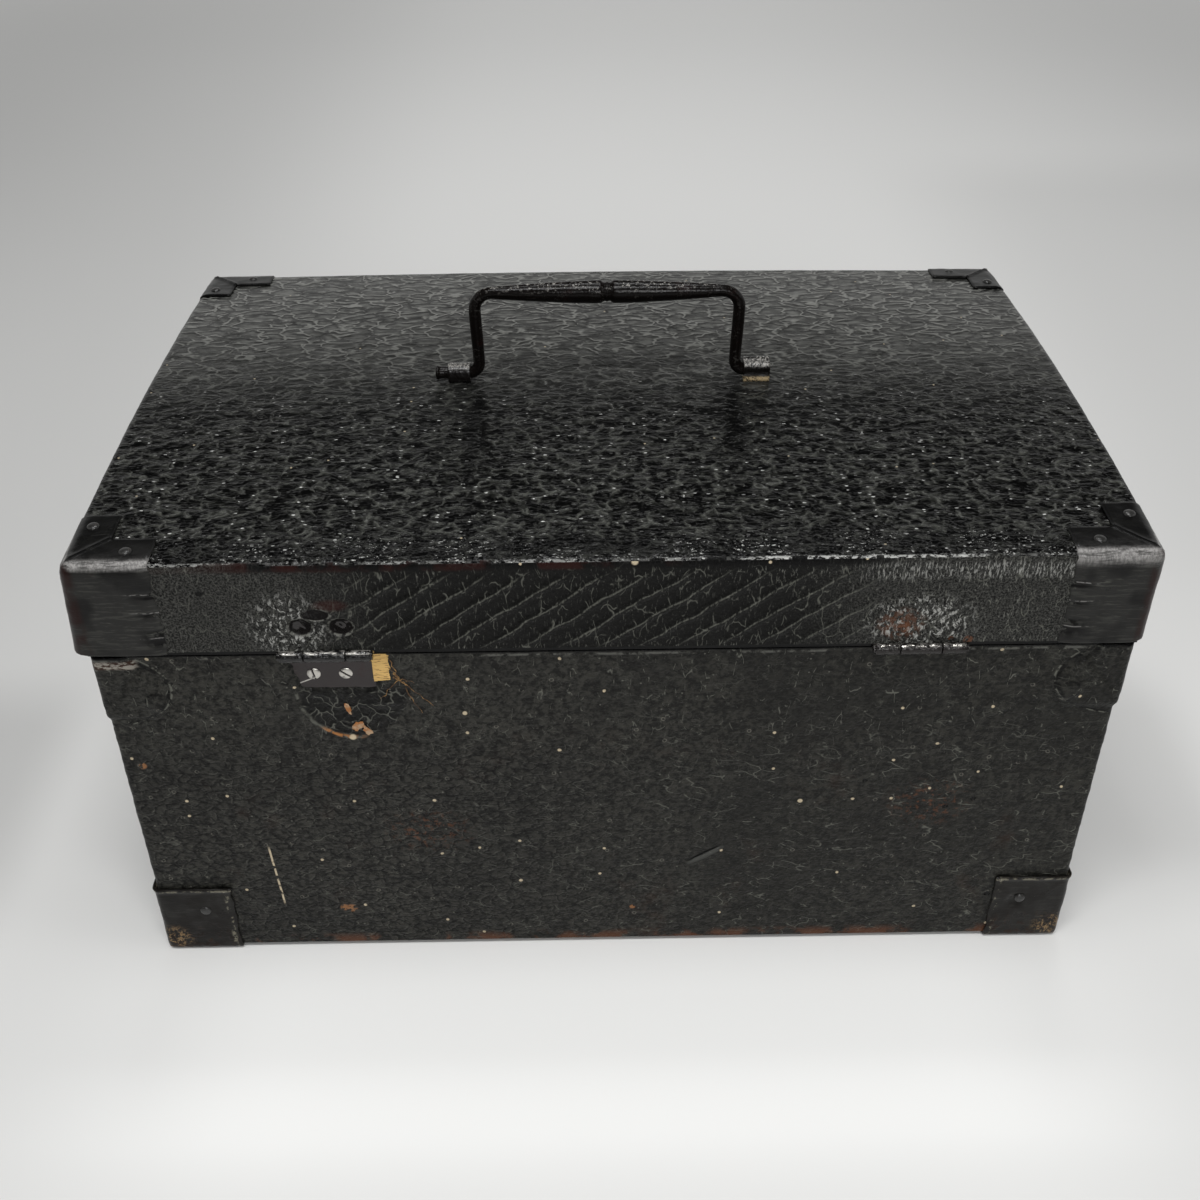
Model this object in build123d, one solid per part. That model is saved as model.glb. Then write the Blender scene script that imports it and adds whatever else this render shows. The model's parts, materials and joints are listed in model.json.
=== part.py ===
from build123d import *
import os
from math import sqrt

# Messenger case: a covered wooden box with a crowned lid, iron corner caps, two butt hinges,
# a forged bail handle and a box lock. Millimetres, +Z up, the origin on the floor at the middle
# of the footprint. The hinges are on the -Y side, the lock is on the +Y side, and left is -X.

# Overall size, over the lid's corner caps
case_length = 400.0
case_depth = 265.0
lid_height = 43.0
lid_crown = 4.8

# Where the lid meets the body
rim_height = 164.4
lid_gap = 0.3
covering_setback = 0.6
lid_overhang = 2.4

# Boards, covering and lining
board_thickness = 10.0
bottom_thickness = 8.0
lid_board_edge = 7.5
covering_thickness = 1.2
covering_round = 1.8
lid_edge_round = 2.2
lining_thickness = 0.6
lining_drop = 1.0

# Corner caps, folded from sheet iron
cap_thickness = 1.2
foot_thickness = 2.4
lid_cap_length = 33.0
lid_cap_end_length = 31.0
lid_cap_leaf = 16.0
bottom_cap_length = 33.0
bottom_cap_height = 38.0
top_patch_length = 28.0
top_patch_height = 32.0

# Nails through the caps and the patches
nail_head_radius = 2.1
nail_head_height = 0.9
nail_shank_radius = 0.8
nail_length = 8.0
nail_hole_clearance = 0.05
lid_nail_inset = 8.0
lid_nail_along = 23.5
bottom_nail_inset = 20.6
bottom_nail_height = 25.0
patch_nail_inset = 21.6
patch_nail_drop = 22.4
patch_nail_head_radius = 3.6

# Brads that hold the boards together
brad_radius = 0.9
brad_head_radius = 1.6
brad_head_height = 0.9
brad_length = 26.0
brad_inset = 5.0
corner_brad_rise = 28.4
corner_brad_drop = 34.4
corner_brad_count = 3
rail_brad_rises = (9.3, 23.3)
long_side_brads = (-120.0, 0.0, 120.0)

# Butt hinges
hinge_places = {"left": -108.75, "right": 115.25}
hinge_length = 34.5
hinge_middle_knuckle = 15.5
hinge_knuckle_gap = 0.3
hinge_knuckle_radius = 2.4
hinge_pin_radius = 1.15
hinge_pin_clearance = 0.05
hinge_pin_head_radius = 1.7
hinge_pin_head_length = 0.7
hinge_axis_outside_lid = 0.9
hinge_leaf_thickness = 1.2
hinge_leaf_height = 18.0
hinge_relief = 0.4
hinge_web_thickness = 1.2
hinge_screw_spacing = 12.2
hinge_screw_drop = 11.2
screw_head_radius = 2.65
screw_head_height = 0.8
screw_shank_radius = 1.3
screw_length = 8.0
screw_slot_width = 0.7
screw_slot_depth = 0.45
bare_wood_width = 5.5
bare_wood_height = 14.5

# Bail handle and its staples
handle_offset = 2.0
handle_pivot_lift = 4.2
handle_rise = 36.3
handle_rod_radius = 2.6
handle_foot_length = 17.5
handle_foot_bend = 4.5
handle_top_bend = 7.5
handle_end_radius = 3.1
handle_end_length = 1.6
grip_length = 92.0
grip_shoulder = 9.0
grip_radius = 4.9
grip_groove_radius = 3.8
grip_groove_width = 4.4
staple_clearance = 0.1
staple_thickness = 1.2
staple_widths = {"left": 9.6, "right": 11.2}
staple_foot_offsets = {"left": 8.8, "right": 9.4}
staple_tail_length = 11.0
staple_slot_clearance = 0.3

# Box lock in the lock-side board
lock_place = 0.0
lock_width = 56.0
lock_flange = 6.0
lock_height = 35.0
lock_depth = 7.3
lock_wall = 1.2
lock_clearance = 0.1
selvedge_width = 8.0
bolt_thickness = 2.0
bolt_bar_length = 42.5
bolt_bar_height = 6.5
bolt_bar_drop = 17.4
bolt_travel = 6.0
bolt_riser_width = 3.0
bolt_tongue_length = 5.7
bolt_tongue_height = 2.6
bolt_tongue_drop = 6.9
bolt_stud_radius = 1.5
bolt_stud_spacing = 28.0
bolt_talon_width = 8.0
bolt_talon_depth = 2.6
eye_spacing = 22.0
eye_thickness = 2.0
eye_wall = 1.0
eye_play = 0.3
eye_setback = 0.8
eye_slot_clearance = 0.6
key_pin_radius = 1.4
key_pin_drop = 25.4
keyhole_radius = 3.0
keyhole_slot_width = 2.8
keyhole_slot_length = 9.0
spring_thickness = 0.6
spring_width = 3.0
spring_rise = 6.0
lock_screw_head_radius = 2.2
lock_screw_shank_radius = 1.1
lock_screw_head_height = 0.8
lock_screw_length = 7.0
strike_length = 52.0
escutcheon_width = 24.0
escutcheon_height = 36.0
escutcheon_thickness = 1.0
escutcheon_pin_spacing = 28.0
escutcheon_pin_radius = 0.7
escutcheon_pin_head_radius = 1.4
escutcheon_pin_head_height = 0.5
escutcheon_pin_length = 3.4

# Planes that follow from these sizes. Each "x" or "y" is a half width from the middle.
skin = cap_thickness + covering_thickness
lid_cap_x = case_length / 2
lid_cap_y = case_depth / 2
lid_cover_x = lid_cap_x - cap_thickness
lid_cover_y = lid_cap_y - cap_thickness
lid_wood_x = lid_cap_x - skin
lid_wood_y = lid_cap_y - skin
body_cap_x = lid_cap_x - lid_overhang
body_cap_y = lid_cap_y - lid_overhang
body_cover_x = body_cap_x - cap_thickness
body_cover_y = body_cap_y - cap_thickness
body_wood_x = body_cap_x - skin
body_wood_y = body_cap_y - skin
inner_x = body_wood_x - board_thickness
inner_y = body_wood_y - board_thickness

bottom_cover_low = foot_thickness
bottom_board_low = bottom_cover_low + covering_thickness
bottom_board_top = bottom_board_low + bottom_thickness
body_cover_top = rim_height - covering_setback
lid_rail_low = rim_height + lid_gap
lid_cover_low = lid_rail_low + covering_setback
lid_corner_height = rim_height + lid_height
lid_cover_edge = lid_corner_height - cap_thickness
lid_wood_edge = lid_cover_edge - covering_thickness
lid_board_low = lid_wood_edge - lid_board_edge
handle_pivot_height = lid_cover_edge + lid_crown + handle_pivot_lift
handle_leg_x = grip_length / 2 + grip_shoulder
staple_places = {
    "left": -(handle_leg_x + staple_foot_offsets["left"]),
    "right": handle_leg_x + staple_foot_offsets["right"],
}
key_pin_height = rim_height - key_pin_drop

hinge_axis_y = -(lid_cap_y - hinge_axis_outside_lid)
hinge_axis_z = rim_height + lid_gap / 2
cut_margin = 5.0


def block(x, y, z):
    """A box between low and high values on each axis."""
    size = (x[1] - x[0], y[1] - y[0], z[1] - z[0])
    middle = ((x[0] + x[1]) / 2, (y[0] + y[1]) / 2, (z[0] + z[1]) / 2)
    return Pos(*middle) * Box(*size)


def rod(start, direction, radius, length):
    """A round bar from a start point along a direction."""
    return Plane(origin=start, z_dir=direction) * Cylinder(
        radius, length, align=(Align.CENTER, Align.CENTER, Align.MIN)
    )


def crowned_block(half_x, half_y, low, edge_height):
    """A box whose top is a shallow arch from the hinge side to the lock side."""
    sides = Polyline((half_y, edge_height), (half_y, low), (-half_y, low), (-half_y, edge_height))
    crown = ThreePointArc((-half_y, edge_height), (0, edge_height + lid_crown), (half_y, edge_height))
    return extrude(Plane.YZ * make_face([sides, crown]), half_x, both=True)


def crown_point(y, half_y, edge_height):
    """Height and upward normal of the arched top at a distance from the middle."""
    radius = (half_y**2 + lid_crown**2) / (2 * lid_crown)
    drop = sqrt(radius**2 - y**2)
    height = edge_height + lid_crown - radius + drop
    return height, (0, y / radius, drop / radius)


def rounded_lid_block(half_x, half_y, low, edge_height, corner_round, edge_round):
    """The crowned box with its upright corners and its top edges rounded."""
    solid = crowned_block(half_x, half_y, low, edge_height)
    solid = fillet(solid.edges().filter_by(Axis.Z), corner_round)
    top = solid.faces().sort_by(Axis.Z)[-1]
    return fillet(top.edges(), edge_round)


def rounded_body_block(half_x, half_y, low, high, corner_round):
    """A plain box with rounded upright corners."""
    solid = block((-half_x, half_x), (-half_y, half_y), (low, high))
    return fillet(solid.edges().filter_by(Axis.Z), corner_round)


def corner_region(side_x, side_y, outer_x, outer_y, long_reach, end_reach, leaf, low, high):
    """An L-shaped column at one corner that follows the two faces which meet there."""
    along = block(
        sorted((side_x * (outer_x - long_reach), side_x * (outer_x + cut_margin))),
        sorted((side_y * (outer_y - leaf), side_y * (outer_y + cut_margin))),
        (low, high),
    )
    across = block(
        sorted((side_x * (outer_x - leaf), side_x * (outer_x + cut_margin))),
        sorted((side_y * (outer_y - end_reach), side_y * (outer_y + cut_margin))),
        (low, high),
    )
    return along + across


def fastener(place, outward, head_radius, head_height, shank_radius, length):
    """A headed pin: the head stands outward from the place, the shank runs inward."""
    inward = tuple(-part for part in outward)
    head = rod(place, outward, head_radius, head_height)
    return head + rod(place, inward, shank_radius, length)


def slotted_screw(place, outward, head_radius, head_height, shank_radius, length):
    """A wood screw whose slotted head is sunk so that its face lies at the place."""
    inward = Vector(*outward) * -1
    seat = Vector(*place) + inward * head_height
    screw = fastener(tuple(seat), outward, head_radius, head_height, shank_radius, length)
    slot_length = 2.2 * head_radius
    slot = Plane(origin=place, z_dir=outward) * Box(slot_length, screw_slot_width, 2 * screw_slot_depth)
    return screw - slot


corners = {
    "hinge_left": (-1, -1),
    "hinge_right": (1, -1),
    "lock_left": (-1, 1),
    "lock_right": (1, 1),
}
nodes = {}


# Solid shells that the covering and the caps are cut from
lid_cap_block = rounded_lid_block(
    lid_cap_x, lid_cap_y, lid_cover_low, lid_corner_height,
    covering_round + cap_thickness, lid_edge_round + cap_thickness,
)
lid_cover_block = rounded_lid_block(
    lid_cover_x, lid_cover_y, lid_cover_low, lid_cover_edge, covering_round, lid_edge_round
)
lid_wood_block = crowned_block(lid_wood_x, lid_wood_y, lid_rail_low, lid_wood_edge)
body_cap_block = rounded_body_block(
    body_cap_x, body_cap_y, 0, body_cover_top, covering_round + cap_thickness
)
body_cover_block = rounded_body_block(
    body_cover_x, body_cover_y, bottom_cover_low, body_cover_top, covering_round
)
body_wood_block = block(
    (-body_wood_x, body_wood_x), (-body_wood_y, body_wood_y), (bottom_board_low, rim_height)
)


def lid_cap_nails():
    """Two round-headed nails on the top of each lid cap, square to the crown."""
    nails = []
    for side_x, side_y in corners.values():
        spots = (
            (lid_cap_x - lid_nail_inset, lid_cap_y - lid_nail_along),
            (lid_cap_x - lid_nail_along, lid_cap_y - lid_nail_inset),
        )
        for x, y in spots:
            height, up = crown_point(side_y * y, lid_cap_y, lid_corner_height)
            nails.append(((side_x * x, side_y * y, height), up))
    return nails


def face_nails(half_x, half_y, inset, height):
    """One nail on each of the two faces that meet at each corner."""
    nails = []
    for side_x, side_y in corners.values():
        nails.append(((side_x * (half_x - inset), side_y * half_y, height), (0, side_y, 0)))
        nails.append(((side_x * half_x, side_y * (half_y - inset), height), (side_x, 0, 0)))
    return nails


def driven(spots, head_radius, head_height, shank_radius, length):
    """The nails at these spots, and the slightly larger holes that take their shanks."""
    hole_radius = shank_radius + nail_hole_clearance
    hole_length = length + nail_hole_clearance
    nails = [fastener(p, d, head_radius, head_height, shank_radius, length) for p, d in spots]
    holes = [rod(p, tuple(-c for c in d), hole_radius, hole_length) for p, d in spots]
    return nails, holes


lid_nails, lid_nail_holes = driven(
    lid_cap_nails(), nail_head_radius, nail_head_height, nail_shank_radius, nail_length
)
bottom_nails, bottom_nail_holes = driven(
    face_nails(body_cap_x, body_cap_y, bottom_nail_inset, bottom_nail_height),
    nail_head_radius, nail_head_height, nail_shank_radius, nail_length,
)
patch_nails, patch_nail_holes = driven(
    face_nails(body_cap_x, body_cap_y, patch_nail_inset, rim_height - patch_nail_drop),
    patch_nail_head_radius, nail_head_height, nail_shank_radius, nail_length,
)
nodes["lid_cap_nails"] = Compound(children=lid_nails)
nodes["bottom_cap_nails"] = Compound(children=bottom_nails)
nodes["top_patch_nails"] = Compound(children=patch_nails)


def make_caps():
    """The lid caps, the bottom caps and the patches at the body's top corners."""
    lid_shell = lid_cap_block - lid_cover_block
    body_shell = body_cap_block - body_cover_block
    for name, (side_x, side_y) in corners.items():
        lid_region = corner_region(
            side_x, side_y, lid_cap_x, lid_cap_y, lid_cap_length, lid_cap_end_length,
            lid_cap_leaf, lid_cover_low, lid_corner_height + lid_crown,
        )
        foot_region = corner_region(
            side_x, side_y, body_cap_x, body_cap_y, bottom_cap_length, bottom_cap_length,
            bottom_cap_length, 0, bottom_cap_height,
        )
        patch_region = corner_region(
            side_x, side_y, body_cap_x, body_cap_y, top_patch_length, top_patch_length,
            top_patch_length, body_cover_top - top_patch_height, body_cover_top,
        )
        nodes[f"{name}_lid_cap"] = (lid_shell & lid_region) - lid_nail_holes
        nodes[f"{name}_bottom_cap"] = (body_shell & foot_region) - bottom_nail_holes
        nodes[f"{name}_top_patch"] = (body_shell & patch_region) - patch_nail_holes


def make_hinge(side):
    """One butt hinge: a leaf let into the body, a leaf let into the lid, and the pin."""
    centre = hinge_places[side]
    span = (centre - hinge_length / 2, centre + hinge_length / 2)
    middle = (centre - hinge_middle_knuckle / 2, centre + hinge_middle_knuckle / 2)
    axis_start = (span[0], hinge_axis_y, hinge_axis_z)
    along = (1, 0, 0)
    barrel = rod(axis_start, along, hinge_knuckle_radius, hinge_length)
    bore = rod(
        (span[0] - cut_margin, hinge_axis_y, hinge_axis_z), along,
        hinge_pin_radius + hinge_pin_clearance, hinge_length + 2 * cut_margin,
    )
    reach = hinge_knuckle_radius + cut_margin
    near = (hinge_axis_y - reach, hinge_axis_y + reach)
    level = (hinge_axis_z - reach, hinge_axis_z + reach)
    middle_zone = block(middle, near, level)
    middle_zone_wide = block(
        (middle[0] - hinge_knuckle_gap, middle[1] + hinge_knuckle_gap), near, level
    )
    body_plate = block(
        span,
        (-body_wood_y, -body_wood_y + hinge_leaf_thickness),
        (rim_height - lid_gap - hinge_leaf_height, rim_height - lid_gap),
    )
    web = block(
        middle,
        (hinge_axis_y + hinge_pin_radius + hinge_pin_clearance, -body_wood_y + hinge_leaf_thickness),
        (rim_height - lid_gap - hinge_web_thickness, rim_height - lid_gap),
    )
    lid_plate = block(
        span,
        (-lid_wood_y, -lid_wood_y + hinge_leaf_thickness),
        (hinge_axis_z + lid_gap + covering_setback, lid_rail_low + hinge_leaf_height),
    )
    sweep_room = rod(axis_start, along, hinge_knuckle_radius + hinge_knuckle_gap, hinge_length)
    body_leaf = (barrel & middle_zone) + web + body_plate - bore
    lid_leaf = (barrel - middle_zone_wide) + (lid_plate - (sweep_room & middle_zone_wide)) - bore
    screws = hinge_screws(centre)
    nodes[f"{side}_hinge_body_leaf"] = body_leaf - screws["body"]["holes"]
    nodes[f"{side}_hinge_lid_leaf"] = lid_leaf - screws["lid"]["holes"]
    head_start = (span[0] - hinge_pin_head_length, hinge_axis_y, hinge_axis_z)
    head_end = (span[1], hinge_axis_y, hinge_axis_z)
    nodes[f"{side}_hinge_pin"] = (
        rod(axis_start, along, hinge_pin_radius, hinge_length)
        + rod(head_start, along, hinge_pin_head_radius, hinge_pin_head_length)
        + rod(head_end, along, hinge_pin_head_radius, hinge_pin_head_length)
    )
    relief = rod(
        (span[0] - hinge_pin_head_length - hinge_relief, hinge_axis_y, hinge_axis_z), along,
        hinge_knuckle_radius + hinge_relief,
        hinge_length + 2 * (hinge_pin_head_length + hinge_relief),
    )
    return {
        "relief": relief,
        "body_mortise": [body_plate, web],
        "lid_mortise": [lid_plate],
        "body_screws": screws["body"]["screws"],
        "lid_screws": screws["lid"]["screws"],
        "body_holes": screws["body"]["holes"],
        "lid_holes": screws["lid"]["holes"],
    }


def hinge_screws(centre):
    """The two slotted screws of each leaf and the holes that they fill."""
    heights = {
        "body": (-body_wood_y, rim_height - hinge_screw_drop),
        "lid": (-lid_wood_y, lid_rail_low + hinge_screw_drop),
    }
    made = {}
    for part, (face_y, height) in heights.items():
        screws = []
        holes = []
        for shift in (-hinge_screw_spacing / 2, hinge_screw_spacing / 2):
            place = (centre + shift, face_y, height)
            inside = (centre + shift, face_y + screw_head_height, height)
            screws.append(slotted_screw(
                place, (0, -1, 0), screw_head_radius, screw_head_height,
                screw_shank_radius, screw_length,
            ))
            holes.append(rod(place, (0, 1, 0), screw_head_radius, screw_head_height))
            holes.append(rod(
                inside, (0, 1, 0), screw_shank_radius + nail_hole_clearance,
                screw_length + nail_hole_clearance,
            ))
        made[part] = {"screws": screws, "holes": holes}
    return made


make_caps()
hinges = {side: make_hinge(side) for side in hinge_places}
nodes["body_hinge_screws"] = Compound(
    children=[screw for hinge in hinges.values() for screw in hinge["body_screws"]]
)
nodes["lid_hinge_screws"] = Compound(
    children=[screw for hinge in hinges.values() for screw in hinge["lid_screws"]]
)
hinge_reliefs = [hinge["relief"] for hinge in hinges.values()]


# Box lock: planes and levels that its pieces share
lock_face_y = inner_y
lock_plate_outer = lock_face_y + lock_wall
lock_case_outer = lock_plate_outer + lock_depth
lock_room_outer = lock_case_outer - lock_wall
bolt_middle_y = (lock_plate_outer + lock_room_outer) / 2
bolt_y = (bolt_middle_y - bolt_thickness / 2, bolt_middle_y + bolt_thickness / 2)
lock_x = (lock_place - lock_width / 2, lock_place + lock_width / 2)
lock_flange_x = (lock_x[0] - lock_flange, lock_x[1] + lock_flange)
selvedge_low = rim_height - lock_wall
lock_low = rim_height - lock_height
bar_low = rim_height - bolt_bar_drop
bar_z = (bar_low, bar_low + bolt_bar_height)
bar_middle_z = bar_low + bolt_bar_height / 2
tongue_z = (rim_height - bolt_tongue_drop, rim_height - bolt_tongue_drop + bolt_tongue_height)
eye_places = (lock_place - eye_spacing / 2, lock_place + eye_spacing / 2)
stud_places = (lock_place - bolt_stud_spacing / 2, lock_place + bolt_stud_spacing / 2)
eye_hole_y = (bolt_y[0] - eye_play, bolt_y[1] + eye_play)
eye_hole_z = (tongue_z[0] - eye_play, tongue_z[1] + eye_play)
eye_y = (eye_hole_y[0] - eye_wall, eye_hole_y[1] + eye_wall)
eye_low = eye_hole_z[0] - eye_wall
selvedge_y = (lock_face_y, lock_face_y + selvedge_width)
keyhole_y = (lock_plate_outer, body_cap_y + cut_margin)


def keyhole():
    """The keyhole's round and slot, as a solid that cuts outward through everything."""
    length = keyhole_y[1] - keyhole_y[0]
    start = (lock_place, keyhole_y[0], key_pin_height)
    slot = block(
        (lock_place - keyhole_slot_width / 2, lock_place + keyhole_slot_width / 2),
        keyhole_y,
        (key_pin_height - keyhole_slot_length, key_pin_height),
    )
    return rod(start, (0, 1, 0), keyhole_radius, length) + slot


def lock_screw_spots():
    """Two screws through the back plate's flanges and two down through the selvedge."""
    flange_x = (lock_x[0] - lock_flange / 2, lock_x[1] + lock_flange / 2)
    plate_level = lock_low + lock_flange
    selvedge_middle = (selvedge_y[0] + selvedge_y[1]) / 2
    spots = [((x, lock_face_y, plate_level), (0, -1, 0)) for x in flange_x]
    spots += [((x, selvedge_middle, rim_height), (0, 0, 1)) for x in flange_x]
    return spots


def lock_screw_set(spots):
    """Small slotted screws at these spots and the holes that they fill."""
    screws = []
    holes = []
    for place, outward in spots:
        inward = Vector(*outward) * -1
        seat = tuple(Vector(*place) + inward * lock_screw_head_height)
        screws.append(slotted_screw(
            place, outward, lock_screw_head_radius, lock_screw_head_height,
            lock_screw_shank_radius, lock_screw_length,
        ))
        holes.append(rod(place, tuple(inward), lock_screw_head_radius, lock_screw_head_height))
        holes.append(rod(
            seat, tuple(inward), lock_screw_shank_radius + nail_hole_clearance,
            lock_screw_length + nail_hole_clearance,
        ))
    return screws, holes


def make_lock():
    """The lock's case with its selvedge, back plate, studs, key pin, spring, bolt and screws."""
    screws, holes = lock_screw_set(lock_screw_spots())
    nodes["lock_screws"] = Compound(children=screws)
    box_z = (lock_low + lock_wall, selvedge_low)
    shell = block(lock_x, (lock_plate_outer, lock_case_outer), box_z)
    room = block(
        (lock_x[0] + lock_wall, lock_x[1] - lock_wall),
        (lock_plate_outer, lock_room_outer),
        (box_z[0] + lock_wall, selvedge_low),
    )
    selvedge = block(lock_flange_x, selvedge_y, (selvedge_low, rim_height))
    eye_slots = [
        block(
            (x - eye_thickness / 2 - eye_slot_clearance, x + eye_thickness / 2 + eye_slot_clearance),
            (eye_y[0] - eye_slot_clearance, eye_y[1] + eye_slot_clearance),
            (selvedge_low - cut_margin, rim_height + cut_margin),
        )
        for x in eye_places
    ]
    studs = [
        rod((x, lock_plate_outer, bar_middle_z), (0, 1, 0), bolt_stud_radius,
            lock_room_outer - lock_plate_outer)
        for x in stud_places
    ]
    case = (shell - room - keyhole()) + studs + (selvedge - eye_slots - holes)
    nodes["lock_case"] = case
    plate = block(lock_flange_x, (lock_face_y, lock_plate_outer), (lock_low, selvedge_low))
    nodes["lock_back_plate"] = plate - holes
    nodes["lock_key_pin"] = rod(
        (lock_place, lock_plate_outer, key_pin_height), (0, 1, 0), key_pin_radius, lock_depth
    )
    nodes["lock_bolt"] = make_bolt()
    nodes["lock_bolt_spring"] = make_bolt_spring(box_z[0] + lock_wall)
    mortise = [shell, plate, selvedge, keyhole()] + holes
    return mortise


def make_bolt():
    """A flat bar that slides on two studs, with two tongues that pass through the lid's eyes."""
    bar_end = lock_x[0] + lock_wall + lock_clearance + spring_thickness
    bar = block((bar_end, bar_end + bolt_bar_length), bolt_y, bar_z)
    for x in eye_places:
        tip = x - eye_thickness / 2 - eye_setback
        riser_front = tip - bolt_tongue_length
        bar += block((riser_front - bolt_riser_width, riser_front), bolt_y, (bar_z[0], tongue_z[1]))
        bar += block((riser_front, tip), bolt_y, tongue_z)
    half_slot = bolt_stud_radius + lock_clearance
    for x in stud_places:
        bar -= block(
            (x - bolt_travel - half_slot, x + half_slot),
            (bolt_y[0] - cut_margin, bolt_y[1] + cut_margin),
            (bar_middle_z - half_slot, bar_middle_z + half_slot),
        )
    bar -= block(
        (lock_place - bolt_talon_width / 2, lock_place + bolt_talon_width / 2),
        (bolt_y[0] - cut_margin, bolt_y[1] + cut_margin),
        (bar_z[0] - cut_margin, bar_z[0] + bolt_talon_depth),
    )
    return bar


def make_bolt_spring(floor):
    """A bent strip that stands on the lock case's floor and bears up under the bolt's tail."""
    wall = lock_x[0] + lock_wall
    under = bar_z[0] - lock_clearance
    side = Polyline(
        (wall, floor),
        (wall + spring_thickness, floor),
        (wall + spring_thickness, under - spring_rise),
        (wall + spring_rise + spring_thickness, under - spring_thickness),
        (wall + 2 * spring_rise, under - spring_thickness),
        (wall + 2 * spring_rise, under),
        (wall + spring_rise, under),
        (wall, under - spring_rise + spring_thickness),
        close=True,
    )
    strip = Plane(origin=(0, bolt_middle_y, 0), x_dir=(1, 0, 0), z_dir=(0, -1, 0)) * make_face(side)
    return extrude(strip, spring_width / 2, both=True)


def make_strike():
    """The strike plate let into the lid's lock-side rail, with the two eyes that hang from it."""
    strike_x = (lock_place - strike_length / 2, lock_place + strike_length / 2)
    plate = block(strike_x, selvedge_y, (lid_rail_low, lid_rail_low + lock_wall))
    eyes = []
    for x in eye_places:
        eye = block((x - eye_thickness / 2, x + eye_thickness / 2), eye_y, (eye_low, lid_rail_low))
        hole = block((x - eye_thickness, x + eye_thickness), eye_hole_y, eye_hole_z)
        eyes.append(eye - hole)
    middle_y = (selvedge_y[0] + selvedge_y[1]) / 2
    spots = [((x, middle_y, lid_rail_low), (0, 0, -1))
             for x in (strike_x[0] + lock_flange, strike_x[1] - lock_flange)]
    screws, holes = lock_screw_set(spots)
    nodes["lock_strike_plate"] = (plate - holes) + eyes
    nodes["strike_screws"] = Compound(children=screws)
    return [plate] + holes


def make_escutcheon():
    """The keyhole plate on the lock side and the two pins that hold it."""
    middle_z = key_pin_height - keyhole_slot_length / 2 + keyhole_radius / 2
    outward = (0, 1, 0)
    face = Plane(origin=(lock_place, body_cover_y, middle_z), x_dir=(1, 0, 0), z_dir=(0, 1, 0))
    outline = Ellipse(escutcheon_width / 2, escutcheon_height / 2)
    plate = extrude(face * outline, escutcheon_thickness)
    front = body_cover_y + escutcheon_thickness
    spots = [((lock_place, front, middle_z + shift), outward)
             for shift in (-escutcheon_pin_spacing / 2, escutcheon_pin_spacing / 2)]
    pins, holes = driven(
        spots, escutcheon_pin_head_radius, escutcheon_pin_head_height,
        escutcheon_pin_radius, escutcheon_pin_length,
    )
    nodes["keyhole_escutcheon"] = plate - keyhole() - holes
    nodes["escutcheon_pins"] = Compound(children=pins)
    return holes


lock_mortise = make_lock()
strike_mortise = make_strike()
escutcheon_holes = make_escutcheon()


# Bail handle and staples
def make_handle():
    """The forged bail: two feet turned outward, two legs, and a turned grip between them."""
    grip_z = handle_pivot_height + handle_rise
    side_plane = Plane(origin=(0, handle_offset, 0), x_dir=(1, 0, 0), z_dir=(0, -1, 0))
    foot_end = handle_leg_x + handle_foot_length
    tube = None
    for side in (-1, 1):
        path = FilletPolyline(
            side_plane.from_local_coords((side * foot_end, handle_pivot_height)),
            side_plane.from_local_coords((side * handle_leg_x, handle_pivot_height)),
            side_plane.from_local_coords((side * handle_leg_x, grip_z)),
            side_plane.from_local_coords((side * grip_length / 2, grip_z)),
            radius=[handle_foot_bend, handle_top_bend],
        )
        section = Plane(origin=path @ 0, z_dir=path % 0) * Circle(handle_rod_radius)
        arm = sweep(section, path=path)
        start = (side * foot_end, handle_offset, handle_pivot_height)
        arm += rod(start, (side, 0, 0), handle_end_radius, handle_end_length)
        tube = arm if tube is None else tube + arm
    half = grip_length / 2
    half_groove = grip_groove_width / 2
    upper = Spline(
        (-half, handle_rod_radius), (-0.5 * half, 0.86 * grip_radius), (-half_groove, grip_radius),
        tangents=[(1, 0.02), (1, 0)],
    )
    outline = [
        upper,
        Polyline(
            (-half_groove, grip_radius), (-half_groove / 4, grip_groove_radius),
            (half_groove / 4, grip_groove_radius), (half_groove, grip_radius),
        ),
        mirror(upper, about=Plane.YZ),
        Polyline((half, handle_rod_radius), (half, 0), (-half, 0), (-half, handle_rod_radius)),
    ]
    profile = make_face(outline)
    grip = revolve(profile, Axis.X)
    grip = Pos(0, handle_offset, grip_z) * grip
    return tube + grip


def make_staple(side):
    """A strap folded round the handle's foot, its tails driven through the lid and clenched."""
    width = staple_widths[side]
    x = (staple_places[side] - width / 2, staple_places[side] + width / 2)
    inner = handle_rod_radius + staple_clearance
    outer = inner + staple_thickness
    start = (x[0], handle_offset, handle_pivot_height)
    ring = rod(start, (1, 0, 0), outer, width)
    hole_start = (x[0] - cut_margin, handle_offset, handle_pivot_height)
    hole = rod(hole_start, (1, 0, 0), inner, width + 2 * cut_margin)
    tails_y = (handle_offset - staple_thickness, handle_offset + staple_thickness)
    tails = block(x, tails_y, (lid_board_low, handle_pivot_height - inner))
    clench_y = (tails_y[0] - staple_tail_length, tails_y[1] + staple_tail_length)
    clench = block(x, clench_y, (lid_board_low, lid_board_low + staple_thickness))
    nodes[f"{side}_handle_staple"] = (ring + tails - hole) + clench
    slot = block(
        (x[0] - staple_slot_clearance, x[1] + staple_slot_clearance),
        (tails_y[0] - staple_slot_clearance, tails_y[1] + staple_slot_clearance),
        (lid_board_low, handle_pivot_height),
    )
    return [slot, clench]


nodes["handle_bail"] = make_handle()
staple_cuts = [cut for side in staple_places for cut in make_staple(side)]


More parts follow.
